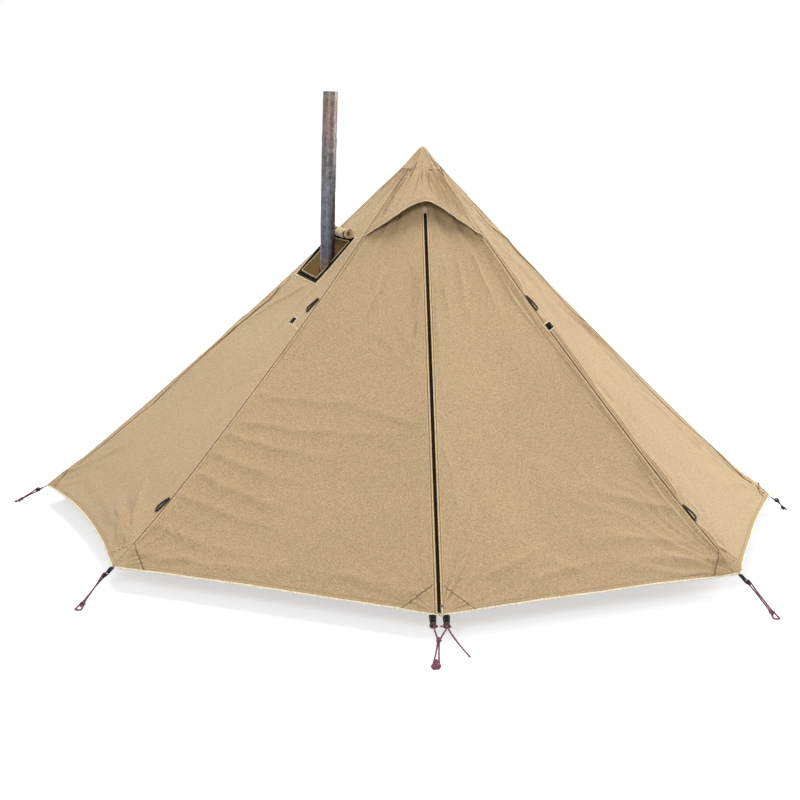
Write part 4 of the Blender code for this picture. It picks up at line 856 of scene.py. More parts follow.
# Height of the creases above the smooth surface, in metres: peak pleats, corner pull
# lines, seam puckers, ridge pleats, single creases and a broad swell, all let down to
# nothing along the seams.
def creaseHeight(k, u, t):
    k = k % tent["sides"]
    u, t = sameShape(u, t)
    width = hemLength * np.maximum(t, 0.001)
    near, far = u * width, (1 - u) * width
    y = (1 - t) * slope
    fromPeak = t * slope
    swell = ripple(near + 3 * k, y, crease["swellSize"], 40 + k)
    height = crease["swell"] * swell * ease(t, 0.1, 0.35)
    rough = ripple(near - 2 * k, y, crease["rumpleSize"], 60 + k, 16)
    patchy = 0.35 + 0.65 * ease(ripple(near, y + k, 0.5, 80 + k), -0.2, 0.9)
    height = height + crease["rumple"] * (1 - 2 * np.abs(rough)) * patchy
    fan = wander(u + 0.06 * wander(t, 0.3, 90 + k), 0.26, 100 + k)
    fan = fan * np.exp(-fromPeak / crease["gatherReach"]) * ease(t, 0.02, 0.06)
    height = height + crease["gather"] * fan
    for index, away in ((0, near), (1, far)):
        reach = np.hypot(away, y)
        angle = np.arctan2(y, away)
        lines = wander(angle + 0.05 * wander(reach, 0.3, 110 + k), 0.2, 120 + 2 * k + index)
        lines = lines * np.exp(-reach / crease["cornerReach"]) * ease(reach, 0.02, 0.1)
        height = height + crease["corner"] * lines
        pucker = wander(y, crease["puckerSize"], 140 + 2 * k + index, 9)
        height = height + crease["pucker"] * pucker * np.exp(-away / crease["puckerReach"])
    for side, place, half, tall in ridgePleats.get(k, ()):
        away = far if side else near
        seed = int(place * 1000) + 7 * k
        line = place * (0.35 + 0.65 * np.sin(math.pi * np.clip(t, 0, 1)) ** 0.6)
        line = line * (1 + 0.22 * wander(y, 0.55, seed))
        strength = (0.55 + 0.45 * wander(y, 0.7, seed + 1)) * ease(t, 0.06, 0.2)
        fold = np.exp(-np.abs((away - line) / half) ** 1.6)
        height = height + crease["pleat"] * tall * strength * fold
    x, down = (u - 0.5) * width, fromPeak
    for u0, t0, u1, t1, bend, half, tall in singleCreases.get(k, ()):
        start = np.array([(u0 - 0.5) * hemLength * t0, t0 * slope])
        end = np.array([(u1 - 0.5) * hemLength * t1, t1 * slope])
        run = end - start
        long = float(np.hypot(*run))
        along = ((x - start[0]) * run[0] + (down - start[1]) * run[1]) / long ** 2
        off = ((x - start[0]) * -run[1] + (down - start[1]) * run[0]) / long
        off = off - bend * 4 * along * (1 - along)
        off = off - 0.004 * wander(along * long, 0.16, int(1000 * t0) + k)
        taper = ease(along, -0.04, 0.06) * (1 - ease(along, 0.35, 1.15)) ** 0.9
        wide = half * (0.75 + 0.9 * np.clip(along, 0, 1))
        away = np.abs(off / wide)
        fold = np.exp(-away ** 1.35) + crease["crest"] * np.exp(-away / 0.3)
        height = height + crease["single"] * tall * taper * fold
    for away, lock in ((near, "zipLock" if k == 0 else "lock"), (far, "zipLock" if k == 7 else "lock")):
        height = height * ease(away, crease[lock] * 0.3, crease[lock] * 1.6)
    return height


# A point on the creased cloth, lifted along the smooth surface's normal.
def clothAt(k, u, t, lift=0.0, creased=True):
    u, t = sameShape(u, t)
    rise = np.asarray(lift, float) + (creaseHeight(k, u, t) if creased else 0.0)
    return clothBase(k, u, t) + clothNormal(k, u, t) * np.broadcast_to(rise, u.shape)[..., None]


# Where a point stands on its panel's flat cut: metres across from the middle line and
# metres down from the peak.
def cutOf(u, t):
    u, t = sameShape(u, t)
    return np.stack([(u - 0.5) * hemLength * t, t * slope], -1)


# The share across a panel at a distance from its first seam, or from its far one.
def shareFrom(away, t, far):
    share = away / (t * hemLength)
    return 1 - share if far else share


# The body that carries a panel's lower part, and its cloth's slot.
def carrierOf(k):
    return {7: ("door_left", "canvas"), 0: ("door_right", "canvas")}.get(k, ("shelter", "canvas_side"))


# Panels, doors and yokes.
panelSetup = {"columns": 150, "rows": 200, "crowding": 0.72}


# Columns crowd towards both seams, where the pleats are narrow.
def acrossShares(count):
    s = np.linspace(0, 1, count)
    return s - panelSetup["crowding"] * np.sin(math.tau * s) / (math.tau)


# A panel of canvas: a grid from its top line to its foot line, creased, with its outer
# and inner face at two heights over the smooth surface.
def dressPanel(name, k, top, foot, rows, look, body, hole=None):
    u = acrossShares(panelSetup["columns"])
    down = np.linspace(0, 1, rows)[:, None]
    t = top(u)[None] + (foot(u) - top(u))[None] * down
    u = np.broadcast_to(u, t.shape).copy()
    faces = gridFaces(*t.shape)
    if hole is not None:
        faces, u, t = hole(faces, u, t)
    outer = clothAt(k, u, t, tent["outer"])
    inner = clothAt(k, u, t, tent["inner"])
    obj = closedSheet(name, outer, inner, look, cutOf(u, t), faces)
    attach(obj, body)
    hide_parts(name)
    smooth = clothBase(k, u, t)
    return obj


# Stove jack's place, needed for the hole in its panel.
jack = {
    "corners": ((0.035, 0.238), (0.74, 0.236), (0.625, 0.355), (0.105, 0.35)),  # (u, t)
    "panel": 6,
    "margin": 0.026,
    # widths in from the outline, rises, and a step in for all of them
    "border": ((0.0, 0.0012, 0.004, 0.012, 0.02, 0.0228, 0.024),
               (0.0012, 0.0024, 0.0022, 0.0027, 0.0022, 0.0024, 0.0012), 0.0008),
    "jack_binding": ((-0.0068, -0.0062, -0.0036, -0.0008, 0.0006),
                     (0.0, 0.0016, 0.003, 0.003, 0.0024), 0.0),
    "jack_inner_binding": ((0.0234, 0.0238, 0.0248, 0.026, 0.0264),
                           (0.0, 0.0012, 0.0016, 0.0012, 0.0), 0.0),
    "pipeShares": (0.525, 0.3075),
    "lift": 0.0029,
    "thick": 0.0016,
    "rollRadius": 0.019,
}


# Bilinear between the four corners, then grown or shrunk by metres.
def jackSpot(a, b, grow=0.0):
    corners = np.array(jack["corners"])
    a, b = np.broadcast_arrays(np.asarray(a, float), np.asarray(b, float))
    top = corners[0] + (corners[1] - corners[0]) * a[..., None]
    low = corners[3] + (corners[2] - corners[3]) * a[..., None]
    spot = top + (low - top) * b[..., None]
    u, t = spot[..., 0], spot[..., 1]
    return u + grow * (2 * a - 1) / (t * hemLength), t + grow * (2 * b - 1) / slope


# Faces inside the jack's opening go; the points on its edge move onto the outline.
def jackHole(faces, u, t):
    a, b = np.array([0.0, 1.0, 1.0, 0.0]), np.array([0.0, 0.0, 1.0, 1.0])
    corners = cutOf(*jackSpot(a, b, -jack["margin"]))
    spots = cutOf(u, t).reshape(-1, 2)
    inside = np.ones(len(spots), bool)
    nearest = np.full(len(spots), np.inf)
    moved = spots.copy()
    for one, two in zip(corners, np.roll(corners, -1, axis=0)):
        run = two - one
        away = (spots - one) @ np.array([-run[1], run[0]]) / np.hypot(*run)
        inside &= away > 0
        share = np.clip((spots - one) @ run / (run @ run), 0, 1)
        on = one + share[:, None] * run
        gap = np.linalg.norm(spots - on, axis=1)
        moved = np.where((gap < nearest)[:, None], on, moved)
        nearest = np.minimum(gap, nearest)
    gone = inside[faces].sum(1) >= 3
    edge = np.intersect1d(faces[gone].ravel(), faces[~gone].ravel())
    spots[edge] = moved[edge]
    newT = (spots[:, 1] / slope).reshape(t.shape)
    newU = (spots[:, 0].reshape(u.shape) / (hemLength * newT)) + 0.5
    return faces[~gone], newU, newT


# The six whole panels start at one share under the peak.
def plainTop(u):
    return np.full(np.shape(u), tent["topShare"])


sidePanels = ((1, "panel_right_front"), (2, "panel_right_rear"), (3, "panel_rear_right"),
              (4, "panel_rear_left"), (5, "panel_left_rear"), (6, "panel_left_front"))
for k, name in sidePanels:
    dressPanel(name, k, plainTop, lambda u, k=k: hemShare(k, u), panelSetup["rows"], canvasSidePaintedLight,
               "shelter", jackHole if k == jack["panel"] else None)
for side, k, hinge in (("left", 7, 7), ("right", 0, 1)):
    cutLine = lambda u, k=k, hinge=hinge: doorCut(k, hinge, u)
    dressPanel("yoke_" + side, k, plainTop, cutLine, 50, canvas, "shelter")
    dressPanel("door_" + side, k, cutLine, lambda u, k=k: hemShare(k, u), 160, canvas,
               "door_" + side)
print("stage: panels and doors made")


# Strips sewn along a ridge.
peakCap = {
    "edge": 0.058, "lift": 0.0022, "pleat": 0.003, "round": 0.016, "thick": 0.0018, "cornerCut": 0.02,
}


# The profile is a closed loop of (across, lift) pairs, across being negative on panel
# k - 1 and positive on panel k; it is carried down ridge k from share top to foot.
def ridgeStrip(name, k, top, foot, profile, look, body, step=0.01, over=0.0):
    t = np.linspace(top, foot, max(int((foot - top) * slope / step), 4))
    rings = []
    raised = over * (1 - ease(t, peakCap["edge"] - 0.004, peakCap["edge"] + 0.012))
    for away, lift, *stand in profile:
        lift = lift + raised + (stand[0] * flapStand(t) if stand else 0.0)
        share = abs(away) / (t * hemLength)
        if abs(away) < 0.0004:
            rings.append(ridgePoint(k, t) + outward(k) * lift[:, None] * 1.05)
        elif away < 0:
            rings.append(clothAt(k - 1, 1 - share, t, lift))
        else:
            rings.append(clothAt(k, share, t, lift))
    points = np.stack(rings, 1)
    along = t * slope
    uv = sideBySide(along[:, None], np.array([spot[0] for spot in profile])[None])
    obj = ringBody(name, points, look, uv)
    if body:
        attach(obj, body)
    return obj


seam = {"width": 0.0125, "rise": 0.0009, "over": 0.0022, "overCap": 0.0026}
gusset = {"half": 0.034, "turn": 0.026, "room": 0.0006, "thick": 0.001, "foot": 0.99}


# The flap over the right front seam carries on the door's plane past the ridge, so its
# free edge stands off the side panel; ties hold it down at some heights.
flap = {
    "slant": 0.56, "start": (0.17, 0.3), "finish": (0.9, 0.985),
    "held": ((0.392, 0.04), (0.868, 0.036)),   # share down the ridge, half height
}


# How far the flap stands off: full between its ends, held down near the ties.
def flapStand(t):
    stand = ease(t, *flap["start"]) * (1 - ease(t, *flap["finish"]))
    for place, half in flap["held"]:
        stand = stand * (1 - 0.85 * np.exp(-((t - place) / half) ** 4))
    return stand * (1 + 0.1 * wander(t * slope, 0.35, 71))


# The flap's profile: out over its stitched folds, round its edge and back underneath.
def seamFlap(base, top):
    across = (0.0005, 0.004, 0.008, 0.011, 0.0135, 0.016, 0.0185, 0.021, 0.0232, 0.026, 0.029, 0.0306)
    folds = (0.0, 0.0004, 0.0008, 0.0, -0.0012, 0.0, 0.0008, 0.0, -0.001, 0.0002, 0.0008, 0.0)
    outer = [(away, top + fold, away * flap["slant"]) for away, fold in zip(across, folds)]
    edge = (0.0312, top - 0.0008, 0.0305 * flap["slant"])
    under = [(away, base, (away - 0.004) * flap["slant"] * 0.86) for away in (0.03, 0.02, 0.01)]
    return outer + [edge] + under + [(0.002, base, 0.0)]


# A profile kept, or turned to the other side of its ridge.
def turned(profile, sign):
    return [(sign * away, lift) for away, lift in profile]


# Seam strips, side flaps, door edges and gussets, each a profile down its ridge.
def dressSeams():
    base, top = tent["outer"] - tent["sunk"], tent["outer"] + seam["rise"]
    ridgeStrip("seam_1", 1, 0.02, 0.999, seamFlap(base, top), flapClothPaintedShade,
               "shelter", over=seam["overCap"])
    wide = seam["width"]
    lifts = [top - 0.0006, top, top, top - 0.0004, top, top + 0.0002, top, top - 0.0004, top,
             top - 0.0001, top - 0.0005, base, base, base]
    for k in range(2, tent["sides"]):
        sign, start = (-1, 0.0) if k == 7 else (1, -seam["over"])
        across = [start, start * 0.8 + 0.0004, 0.0024, 0.003, 0.0036, 0.0065, 0.009, 0.0095, 0.01,
                  wide - 0.0006, wide, wide - 0.001, 0.006, 0.002]
        across = [away if abs(away) > 0.0004 else 0.0005 for away in across]
        profile = turned(zip(across, lifts), sign)
        ridgeStrip(f"seam_{k}", k, 0.014, 0.999, profile, seamClothPaintedShade,
                   "shelter", over=seam["overCap"])
    for k, sign, start in ((6, 1, 0.362), (2, -1, 0.15)):
        face = [(0.0008, base), (0.0008, top + 0.001), (0.01, top + 0.0014),
                (0.02, top + 0.0008), (0.03, top + 0.0016), (0.038, top + 0.0018),
                (0.04, top + 0.0012), (0.0406, top - 0.0004), (0.04, base)]
        ridgeStrip(f"side_flap_{k}", k, start, 0.998, turned(face, sign),
                   sideFlapClothPaintedShade, "shelter")
    # a folded edge on each door, beside its hinge seam
    head = float(doorCut(7, 7, np.array([0.0]))[0])
    edge = [(0.0009, base), (0.0009, top + 0.0006), (0.002, top + 0.0012), (0.0034, top + 0.0008),
            (0.006, top), (0.0078, top - 0.0003), (0.0098, top), (0.0106, base)]
    for k, sign, body in ((7, 1, "door_left"), (1, -1, "door_right")):
        ridgeStrip(f"door_edge_{k}", k, head + 0.002, 0.998,
                   turned(edge, sign), edgeClothPaintedShade, body)
        # a gusset under the hinge seam, between the side panel and the door
        face = [(side * gusset["half"], tent["inner"] - gusset["room"])
                for side in np.linspace(-1, 1, 20)]
        back = [(away, lift - gusset["thick"]) for away, lift in face[::-1]]
        obj = ridgeStrip(f"hinge_gusset_{k}", k, head + 0.004, gusset["foot"], face + back, canvasSidePaintedLight,
                         None)
        middle = ridgePoint(k, np.array(0.7))
        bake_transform(obj)


dressSeams()

# A turned hem: a band on the outer face and a bound edge; the profile is (down, lift)
# about the hem line and is carried across the panel.
hem = {
    "band": 0.02, "rise": 0.0009, "bead": 0.0042, "columns": 120,
    "ends": (0.001, 0.999),
    "bindingEnds": {7: (0.008, 0.999), 0: (0.001, 0.992)},  # the doors', clear of the side panels
}


def hemStrip(name, k, profile, look, body, start=0.001, end=0.999):
    u = np.linspace(start, end, hem["columns"])
    foot = hemShare(k, u)
    rings = [clothAt(k, u, foot + down / slope, lift) for down, lift in profile]
    uv = sideBySide((u * hemLength)[:, None], np.array([down for down, _ in profile])[None])
    obj = ringBody(name, np.stack(rings, 1), look, uv)
    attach(obj, body)
    return obj


# A flat band with one row of stitches, and an oval bead over the cut edge.
def dressHems():
    top = tent["outer"] + hem["rise"]
    base = tent["outer"] - tent["sunk"]
    band = ((-hem["band"], base), (-hem["band"], top - 0.0003), (-hem["band"] + 0.0008, top),
            (-0.0178, top), (-0.0165, top - 0.0004), (-0.0152, top), (-0.008, top + 0.0003),
            (-0.002, top), (-0.0015, base))
    middle = (tent["outer"] + tent["inner"]) / 2
    turns = turnsOf(12)
    bead = [(hem["bead"] * math.cos(turn), middle + hem["bead"] * 0.85 * math.sin(turn))
            for turn in turns]
    for k in range(tent["sides"]):
        body, slotName = carrierOf(k)
        hemStrip(f"hem_{k}", k, band, hemCloth, body)
        start, end = hem["bindingEnds"].get(k, hem["ends"])
        hemStrip(f"hem_binding_{k}", k, bead, binding, body, start, end)


dressHems()


# A triangle between the ridge, the hem and a diagonal: it starts on the ridge at share
# t = head and widens down to the share wide of the hem.
patch = {
    "corners": (  # panel, side, head share, hem share across
        (7, 0, 0.947, 0.105), (6, 1, 0.947, 0.1), (7, 1, 0.943, 0.112), (0, 0, 0.943, 0.112),
        (0, 1, 0.947, 0.095), (1, 0, 0.947, 0.095), (1, 1, 0.952, 0.085), (2, 0, 0.952, 0.085),
        *[(k, side, 0.95, 0.09) for k, side in (
            (2, 1), (3, 0), (3, 1), (4, 0), (4, 1), (5, 0), (5, 1), (6, 0))],
    ),
    "rise": 0.0024,
}


# Points go down from head to hem and across from the ridge to the diagonal, so both
# shares shrink to nothing at the head.
def dressPatches():
    for k, side, head, wide in patch["corners"]:
        down = np.linspace(0.02, 1, 64)[:, None]
        across = np.linspace(0, 1, 60)[None]
        inset = 0.021 / hemLength if (k, side) in ((7, 1), (0, 0)) else 0.0008 / hemLength
        part = inset + (wide - inset) * across * down
        u = 1 - part if side else part
        t = head + (hemShare(k, u) - 0.0012 - head) * down
        outer = clothAt(k, u, t, tent["outer"] + patch["rise"])
        inner = clothAt(k, u, t, tent["outer"] - tent["sunk"])
        x = part * hemLength
        y = (t - head) * slope
        run = np.array([wide * hemLength, (1 - head) * slope])
        away = (y * run[0] - x * run[1]) / np.hypot(*run)
        uv = np.stack([(x * run[0] + y * run[1]) / np.hypot(*run), away], -1)
        obj = closedSheet(f"patch_{k}_{side}", outer, inner, patchClothPaintedShade, uv)
        body, slotName = carrierOf(k)
        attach(obj, body)


dressPatches()
print("stage: seams, hems and patches made")


# Round the peak by angle and down by share: the cloth surface itself, lifted, with
# pleats that fade towards a rounded tip.
def dressCap():
    turn = np.linspace(0, tent["sides"], 192, endpoint=False)
    shares = np.linspace(0.0, 1.0, 40)
    k = turn.astype(int)
    part = turn - k
    angle = -math.pi / 2 + math.tau * turn / tent["sides"]
    t = shares[:, None] * peakCap["edge"]
    flat = np.cos(math.pi / tent["sides"]) / np.cos(math.pi / tent["sides"] * (2 * part - 1))
    corner = 1 - ease(np.abs(2 * part - 1), 0.6, 1.0) * peakCap["cornerCut"]
    out = tent["radius"] * t * (flat * corner)[None]
    blunt = peakCap["round"] * (1 - shares[:, None]) ** 1.4
    drop = np.sqrt((tent["drop"] * t) ** 2 + blunt ** 2) - blunt
    pleats = wander(turn + 0.25 * wander(turn, 4.0, 3), 0.6, 5, 9)
    pleats = pleats * np.sin(math.pi * shares[:, None] ** 1.2)
    neck = tent["neck"] * t / tent["neckShare"] * np.exp(1 - t / tent["neckShare"])
    push = peakCap["lift"] + peakCap["pleat"] * pleats - neck
    high = peakHeight - drop + push * downward
    out = out + push * inward * ease(shares, 0.0, 0.2)[:, None]
    outer = sideBySide(out * np.cos(angle), out * np.sin(angle), high)
    inner = outer - upAxis * peakCap["thick"]
    uv = sideBySide(turn[None] * 0.05, t * slope)
    obj = closedSheet("peak_cap", outer, inner, canvasSidePaintedLight, uv, wrap=True)
    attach(obj, "shelter")
    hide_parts("peak_cap")


dressCap()

# Hood over the door head.
hood = {
    "top": 0.048, "end": 0.23, "middle": 0.1428, "endPower": 2.27, "stand": 0.085, "standPower": 4.06,
    "lift": 0.0033, "thick": 0.0014, "rows": 110, "columns": 220, "lip": 0.0046,
    "pleat": 1.2, "crest": 0.9,    # how strong the folds are, and how sharp
    "tuck": 0.0028, "tuckEnd": (0.056, 0.074), "ripple": 0.0008, "swell": 0.002, "lipRipple": 0.0005,
}
# Pleats down the hood: place across at the top and at the lip (-1 left to 1 right),
# half width, height, and how far down they last.
hoodPleats = (
    (-0.06, -0.14, 0.03, -0.005, 0.62), (-0.2, -0.42, 0.06, 0.003, 1.3),
    (-0.62, -0.72, 0.05, -0.003, 1.3), (-0.86, -0.9, 0.035, 0.005, 1.4),
    (-0.95, -0.97, 0.02, -0.004, 1.4), (0.06, 0.1, 0.035, 0.0034, 0.8),
    (0.14, 0.3, 0.04, -0.0046, 1.0), (0.22, 0.44, 0.04, 0.006, 1.4),
    (0.34, 0.55, 0.036, -0.005, 1.3), (0.46, 0.64, 0.036, 0.0058, 1.5),
    (0.58, 0.73, 0.032, -0.0048, 1.4), (0.7, 0.81, 0.03, 0.0056, 1.5),
    (0.82, 0.89, 0.026, -0.0044, 1.4), (0.91, 0.94, 0.022, 0.0048, 1.5),
    (0.12, 0.18, 0.03, 0.002, 1.2),
)


# The cloth surface of both door panels, lifted, and stood off more and more towards
# the lip, most in the middle; the pleats run down it.
def hoodPoint(across, down, lift):
    w = 2 * across - 1
    w, down = np.broadcast_arrays(w, down)
    end = hood["middle"] + (hood["end"] - hood["middle"]) * np.abs(w) ** hood["endPower"]
    t = hood["top"] + (end - hood["top"]) * down
    edge = 0.0003 / (t * hemLength)
    left, right = np.maximum(1 + w, edge), np.minimum(w, 1 - edge)
    base = np.where((w < 0)[..., None], clothBase(7, left, t), clothBase(0, right, t))
    normal = np.where((w < 0)[..., None], clothNormal(7, left, t), clothNormal(0, right, t))
    normal = unit(normal * np.abs(w)[..., None] + outward(0) * (1 - np.abs(w))[..., None])
    stand = hood["stand"] * (1 - np.abs(w) ** hood["standPower"]) * down ** 1.4
    x, y = w * 0.3, down * 0.25
    height = hood["ripple"] * ripple(x, y, 0.05, 31, 14) + hood["swell"] * ripple(x, y, 0.2, 32)
    height = height + hood["lipRipple"] * ripple(x, down * 0.16, 0.02, 33, 14) * ease(down, 0.72, 0.92)
    for first, last, half, tall, lasting in hoodPleats:
        line = first + (last - first) * down + 0.012 * wander(down, 0.5, int(first * 100) + 200)
        fade = ease(down, 0.03, 0.3) * (1 - ease(down, lasting * 0.45, lasting))
        fade = fade * (1 - 0.75 * ease(down, 0.72, 1.0))
        away = np.abs((w - line) / half)
        fold = np.exp(-away ** 1.5) + hood["crest"] * np.exp(-away / 0.25)
        height = height + hood["pleat"] * tall * fade * fold
    hold = 1 - ease(np.abs(w), 0.975, 1.0)
    lift = lift - hood["tuck"] * (1 - ease(t, *hood["tuckEnd"]))
    return base + normal * (lift + height * hold)[..., None] + heading(0) * stand[..., None]


# Two faces of the hood's surface a cloth's thickness apart, and a tube along its lip.
def dressHood():
    across = np.linspace(0, 1, hood["columns"])[None]
    down = np.linspace(0, 1, hood["rows"])[:, None]
    outer = hoodPoint(across, down, hood["lift"] + hood["thick"])
    inner = hoodPoint(across, down, hood["lift"])
    lip = outer[-1]
    along = runOf(lip)
    steps = np.linalg.norm(np.diff(outer[::-1], axis=0), axis=-1)
    back = np.concatenate([np.zeros((1, hood["columns"])), np.cumsum(steps, axis=0)])[::-1]
    uv = sideBySide(along[None], back)
    obj = closedSheet("hood", outer, inner, hoodClothPaintedShade, uv)
    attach(obj, "shelter")
    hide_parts("hood")
    edge = tubeAlong("hood_lip", (outer[-1] + inner[-1]) / 2, hood["lip"] / 2, piping,
                     axis=(0, 1, 0), sides=14)
    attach(edge, "shelter")


dressHood()
print("stage: cap and hood made")


# Zip.
zipper = {
    "top": 0.178, "foot": 0.996, "lift": 0.0029, "tapeHalf": 0.0086, "tapeThick": 0.0007,
    "pitch": 0.0032, "toothLong": 0.002, "toothWide": 0.0042, "toothHigh": 0.0019,
}


# Tape, facing and teeth for each side, above and below the door head.
def dressZip():
    head = float(doorCut(7, 7, np.array([1.0]))[0])
    low, high = zipper["lift"], zipper["lift"] + zipper["tapeThick"]
    half = zipper["tapeHalf"]
    tape = ((0.0005, low), (half, low), (half, high), (half / 2, high + 0.0002), (0.0005, high))
    under = tent["outer"] - tent["sunk"]
    fold = ((0.0054, high + 0.0002), (0.0052, high + 0.001), (0.0058, high + 0.002),
            (0.0076, high + 0.0023), (0.011, high + 0.0015), (0.016, high + 0.0007),
            (0.0178, high + 0.0002), (0.0192, high + 0.0005), (0.0212, high),
            (0.0216, high - 0.0008), (0.0212, under), (0.01, under))
    for side, sign, body, top, foot, place in (
            ("left", -1, "door_left", head, zipper["foot"], "zip_left"),
            ("right", 1, "door_right", head, zipper["foot"], "zip_right"),
            ("upper_left", -1, "shelter", zipper["top"], head, "zip_upper"),
            ("upper_right", 1, "shelter", zipper["top"], head, None)):
        strip = ridgeStrip("zip_tape_" + side, 0, top, foot, turned(tape, sign), zipTape, body)
        if place:
            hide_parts(place)
        ridgeStrip("zip_facing_" + side, 0, top, min(foot + 0.002, 0.9985), turned(fold, sign), facing,
                   body)
        dressTeeth("zip_teeth_" + side, sign, top, foot, body)


# One small block for each tooth, every other one from the other side, all along the
# ridge at an even pitch; each block reaches just past the middle line.
def dressTeeth(name, sign, top, foot, body):
    count = int((foot - top) * slope / zipper["pitch"])
    t = top + (np.arange(count) + (0.5 if sign > 0 else 1.0)) * zipper["pitch"] / slope
    t = t[t < foot - 0.001]
    across = unit(np.cross(outward(0), heading(0)))
    along = unit(ridgePoint(0, t + 0.001) - ridgePoint(0, t - 0.001))
    if across[0] * sign < 0:
        across = -across
    out = outward(0)
    centre = ridgePoint(0, t) + out * (zipper["lift"] + zipper["tapeThick"] + 0.0003) * 1.04
    corners = [(x, y, z) for x in (-0.16, 1.0) for y in (-0.5, 0.5) for z in (-0.45, 1.0)]
    long, wide, high = zipper["toothLong"], zipper["toothWide"], zipper["toothHigh"]
    block = np.stack([centre + across * x * wide + along * y * long * (1.0 if x > 0 else 1.15)
                      + out * z * high * (0.8 if x > 0 else 1.0) for x, y, z in corners], 1)
    faces = np.array([(0, 1, 3, 2), (4, 6, 7, 5), (0, 4, 5, 1), (2, 3, 7, 6), (0, 2, 6, 4), (1, 5, 7, 3)])
    if sign > 0:
        faces = faces[:, ::-1]
    faces = (faces[None] + np.arange(len(t))[:, None, None] * 8).reshape(-1, 4)
    uv = np.zeros((block.shape[0] * 8, 2))
    obj = newMesh(name, block.reshape(-1, 3), [faces], teethLook, uv, flatSets=(0,))
    fixFacing(obj)
    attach(obj, body)


dressZip()

# The square tab sewn over the zip's head.
headTab = {"size": 0.033, "lift": 0.004, "thick": 0.0014, "puff": 0.0012}


# A square on the smooth surface, puffed up by fourth powers towards its middle.
def dressHeadTab():
    middle = zipper["top"] - headTab["size"] / 2 / slope - 0.002
    side = np.linspace(-0.5, 0.5, 33)
    across, down = np.meshgrid(side, side)
    t = middle + headTab["size"] * down / slope
    away = headTab["size"] * across
    share = np.abs(away) / (t * hemLength)
    spot = np.where((away < 0)[..., None], clothBase(7, 1 - share, t), clothBase(0, share, t))
    puff = headTab["puff"] * (1 - (2 * across) ** 4) * (1 - (2 * down) ** 4)
    low = spot + outward(0) * headTab["lift"]
    high = spot + outward(0) * (headTab["lift"] + headTab["thick"] + puff)[..., None]
    uv = sideBySide((down + 0.5) * headTab["size"], (across + 0.5) * headTab["size"])
    obj = closedSheet("zip_head_tab", high, low, headTabLookPaintedLight, uv)
    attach(obj, "shelter")
    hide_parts("zip_head_tab")


dressHeadTab()

# The pull is a folded tape through the slider's bridge.
pull = {
    "width": 0.008, "long": 0.033, "thick": 0.0014, "curl": 0.003,
    "start": 0.0016, "rounded": 0.22, "eye": 0.0019, "wire": 0.0009,
}


# A strip down from the pivot: its curl is half a sine wave, its end is rounded, and a
# small ring round the pivot holds it.
def dressPull():
    joints = frame["record"]["behaviour"]["joints"]
    swing = next(joint for joint in joints if joint["child"] == "zip_pull")
    pivot, side = np.array(swing["pos_m"]), -unit(np.array(swing["axis"]))
    downhill = unit(ridgePoint(0, 1.0) - ridgePoint(0, 0.9))
    downhill = unit(downhill - side * (downhill @ side))
    out = np.cross(downhill, side)
    if out @ outward(0) < 0:
        out = -out
    s = np.linspace(0, 1, 30)[:, None]
    x = np.linspace(-0.5, 0.5, 11)[None]
    edge = 1 - pull["rounded"] * ease(s, 0.86, 1.0) ** 2
    curl = pull["curl"] * np.sin(math.pi * s) - 0.0012 * ease(s, 0.0, 0.15)
    curl = curl + 0.0004 * np.cos(math.tau * x)
    centre = pivot + downhill * (pull["start"] + s * pull["long"])[..., None]
    centre = centre + side * (x * pull["width"] * edge)[..., None] + out * curl[..., None]
    uv = sideBySide(s * pull["long"], (x + 0.5) * pull["width"])
    face, back = [centre + out * sign * pull["thick"] / 2 for sign in (1, -1)]
    obj = closedSheet("zip_pull", face, back, pullTape, uv)
    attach(obj, "zip_pull")
    turn = turnsOf(24)[:, None]
    ring = pivot + (np.cos(turn) * downhill + np.sin(turn) * out) * pull["eye"]
    eye = tubeAlong("zip_pull_eye", ring, pull["wire"], sliderMetal, axis=side, sides=10, joined=True)
    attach(eye, "zip_pull")
    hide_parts("zip_pull")


dressPull()
print("stage: zip made")


# A band round the jack: each row follows the jack's outline drawn in by its width, a rise
# above base; its under side lies on low.
def jackBand(name, a, b, profile, base, low, look, run=None):
    widths, rises = [np.array(row)[:, None] for row in profile[:2]]
    spots = [jackSpot(a, b, -width - profile[2]) for width in widths[:, 0]]
    u, t = [np.array(part) for part in zip(*spots)]
    outer = clothAt(jack["panel"], u, t, base + rises)
    inner = clothAt(jack["panel"], u, t, low)
    run = runOf(outer[0]) if run is None else run
    return closedSheet(name, outer, inner, look, sideBySide(run[None], widths), wrap=True), run


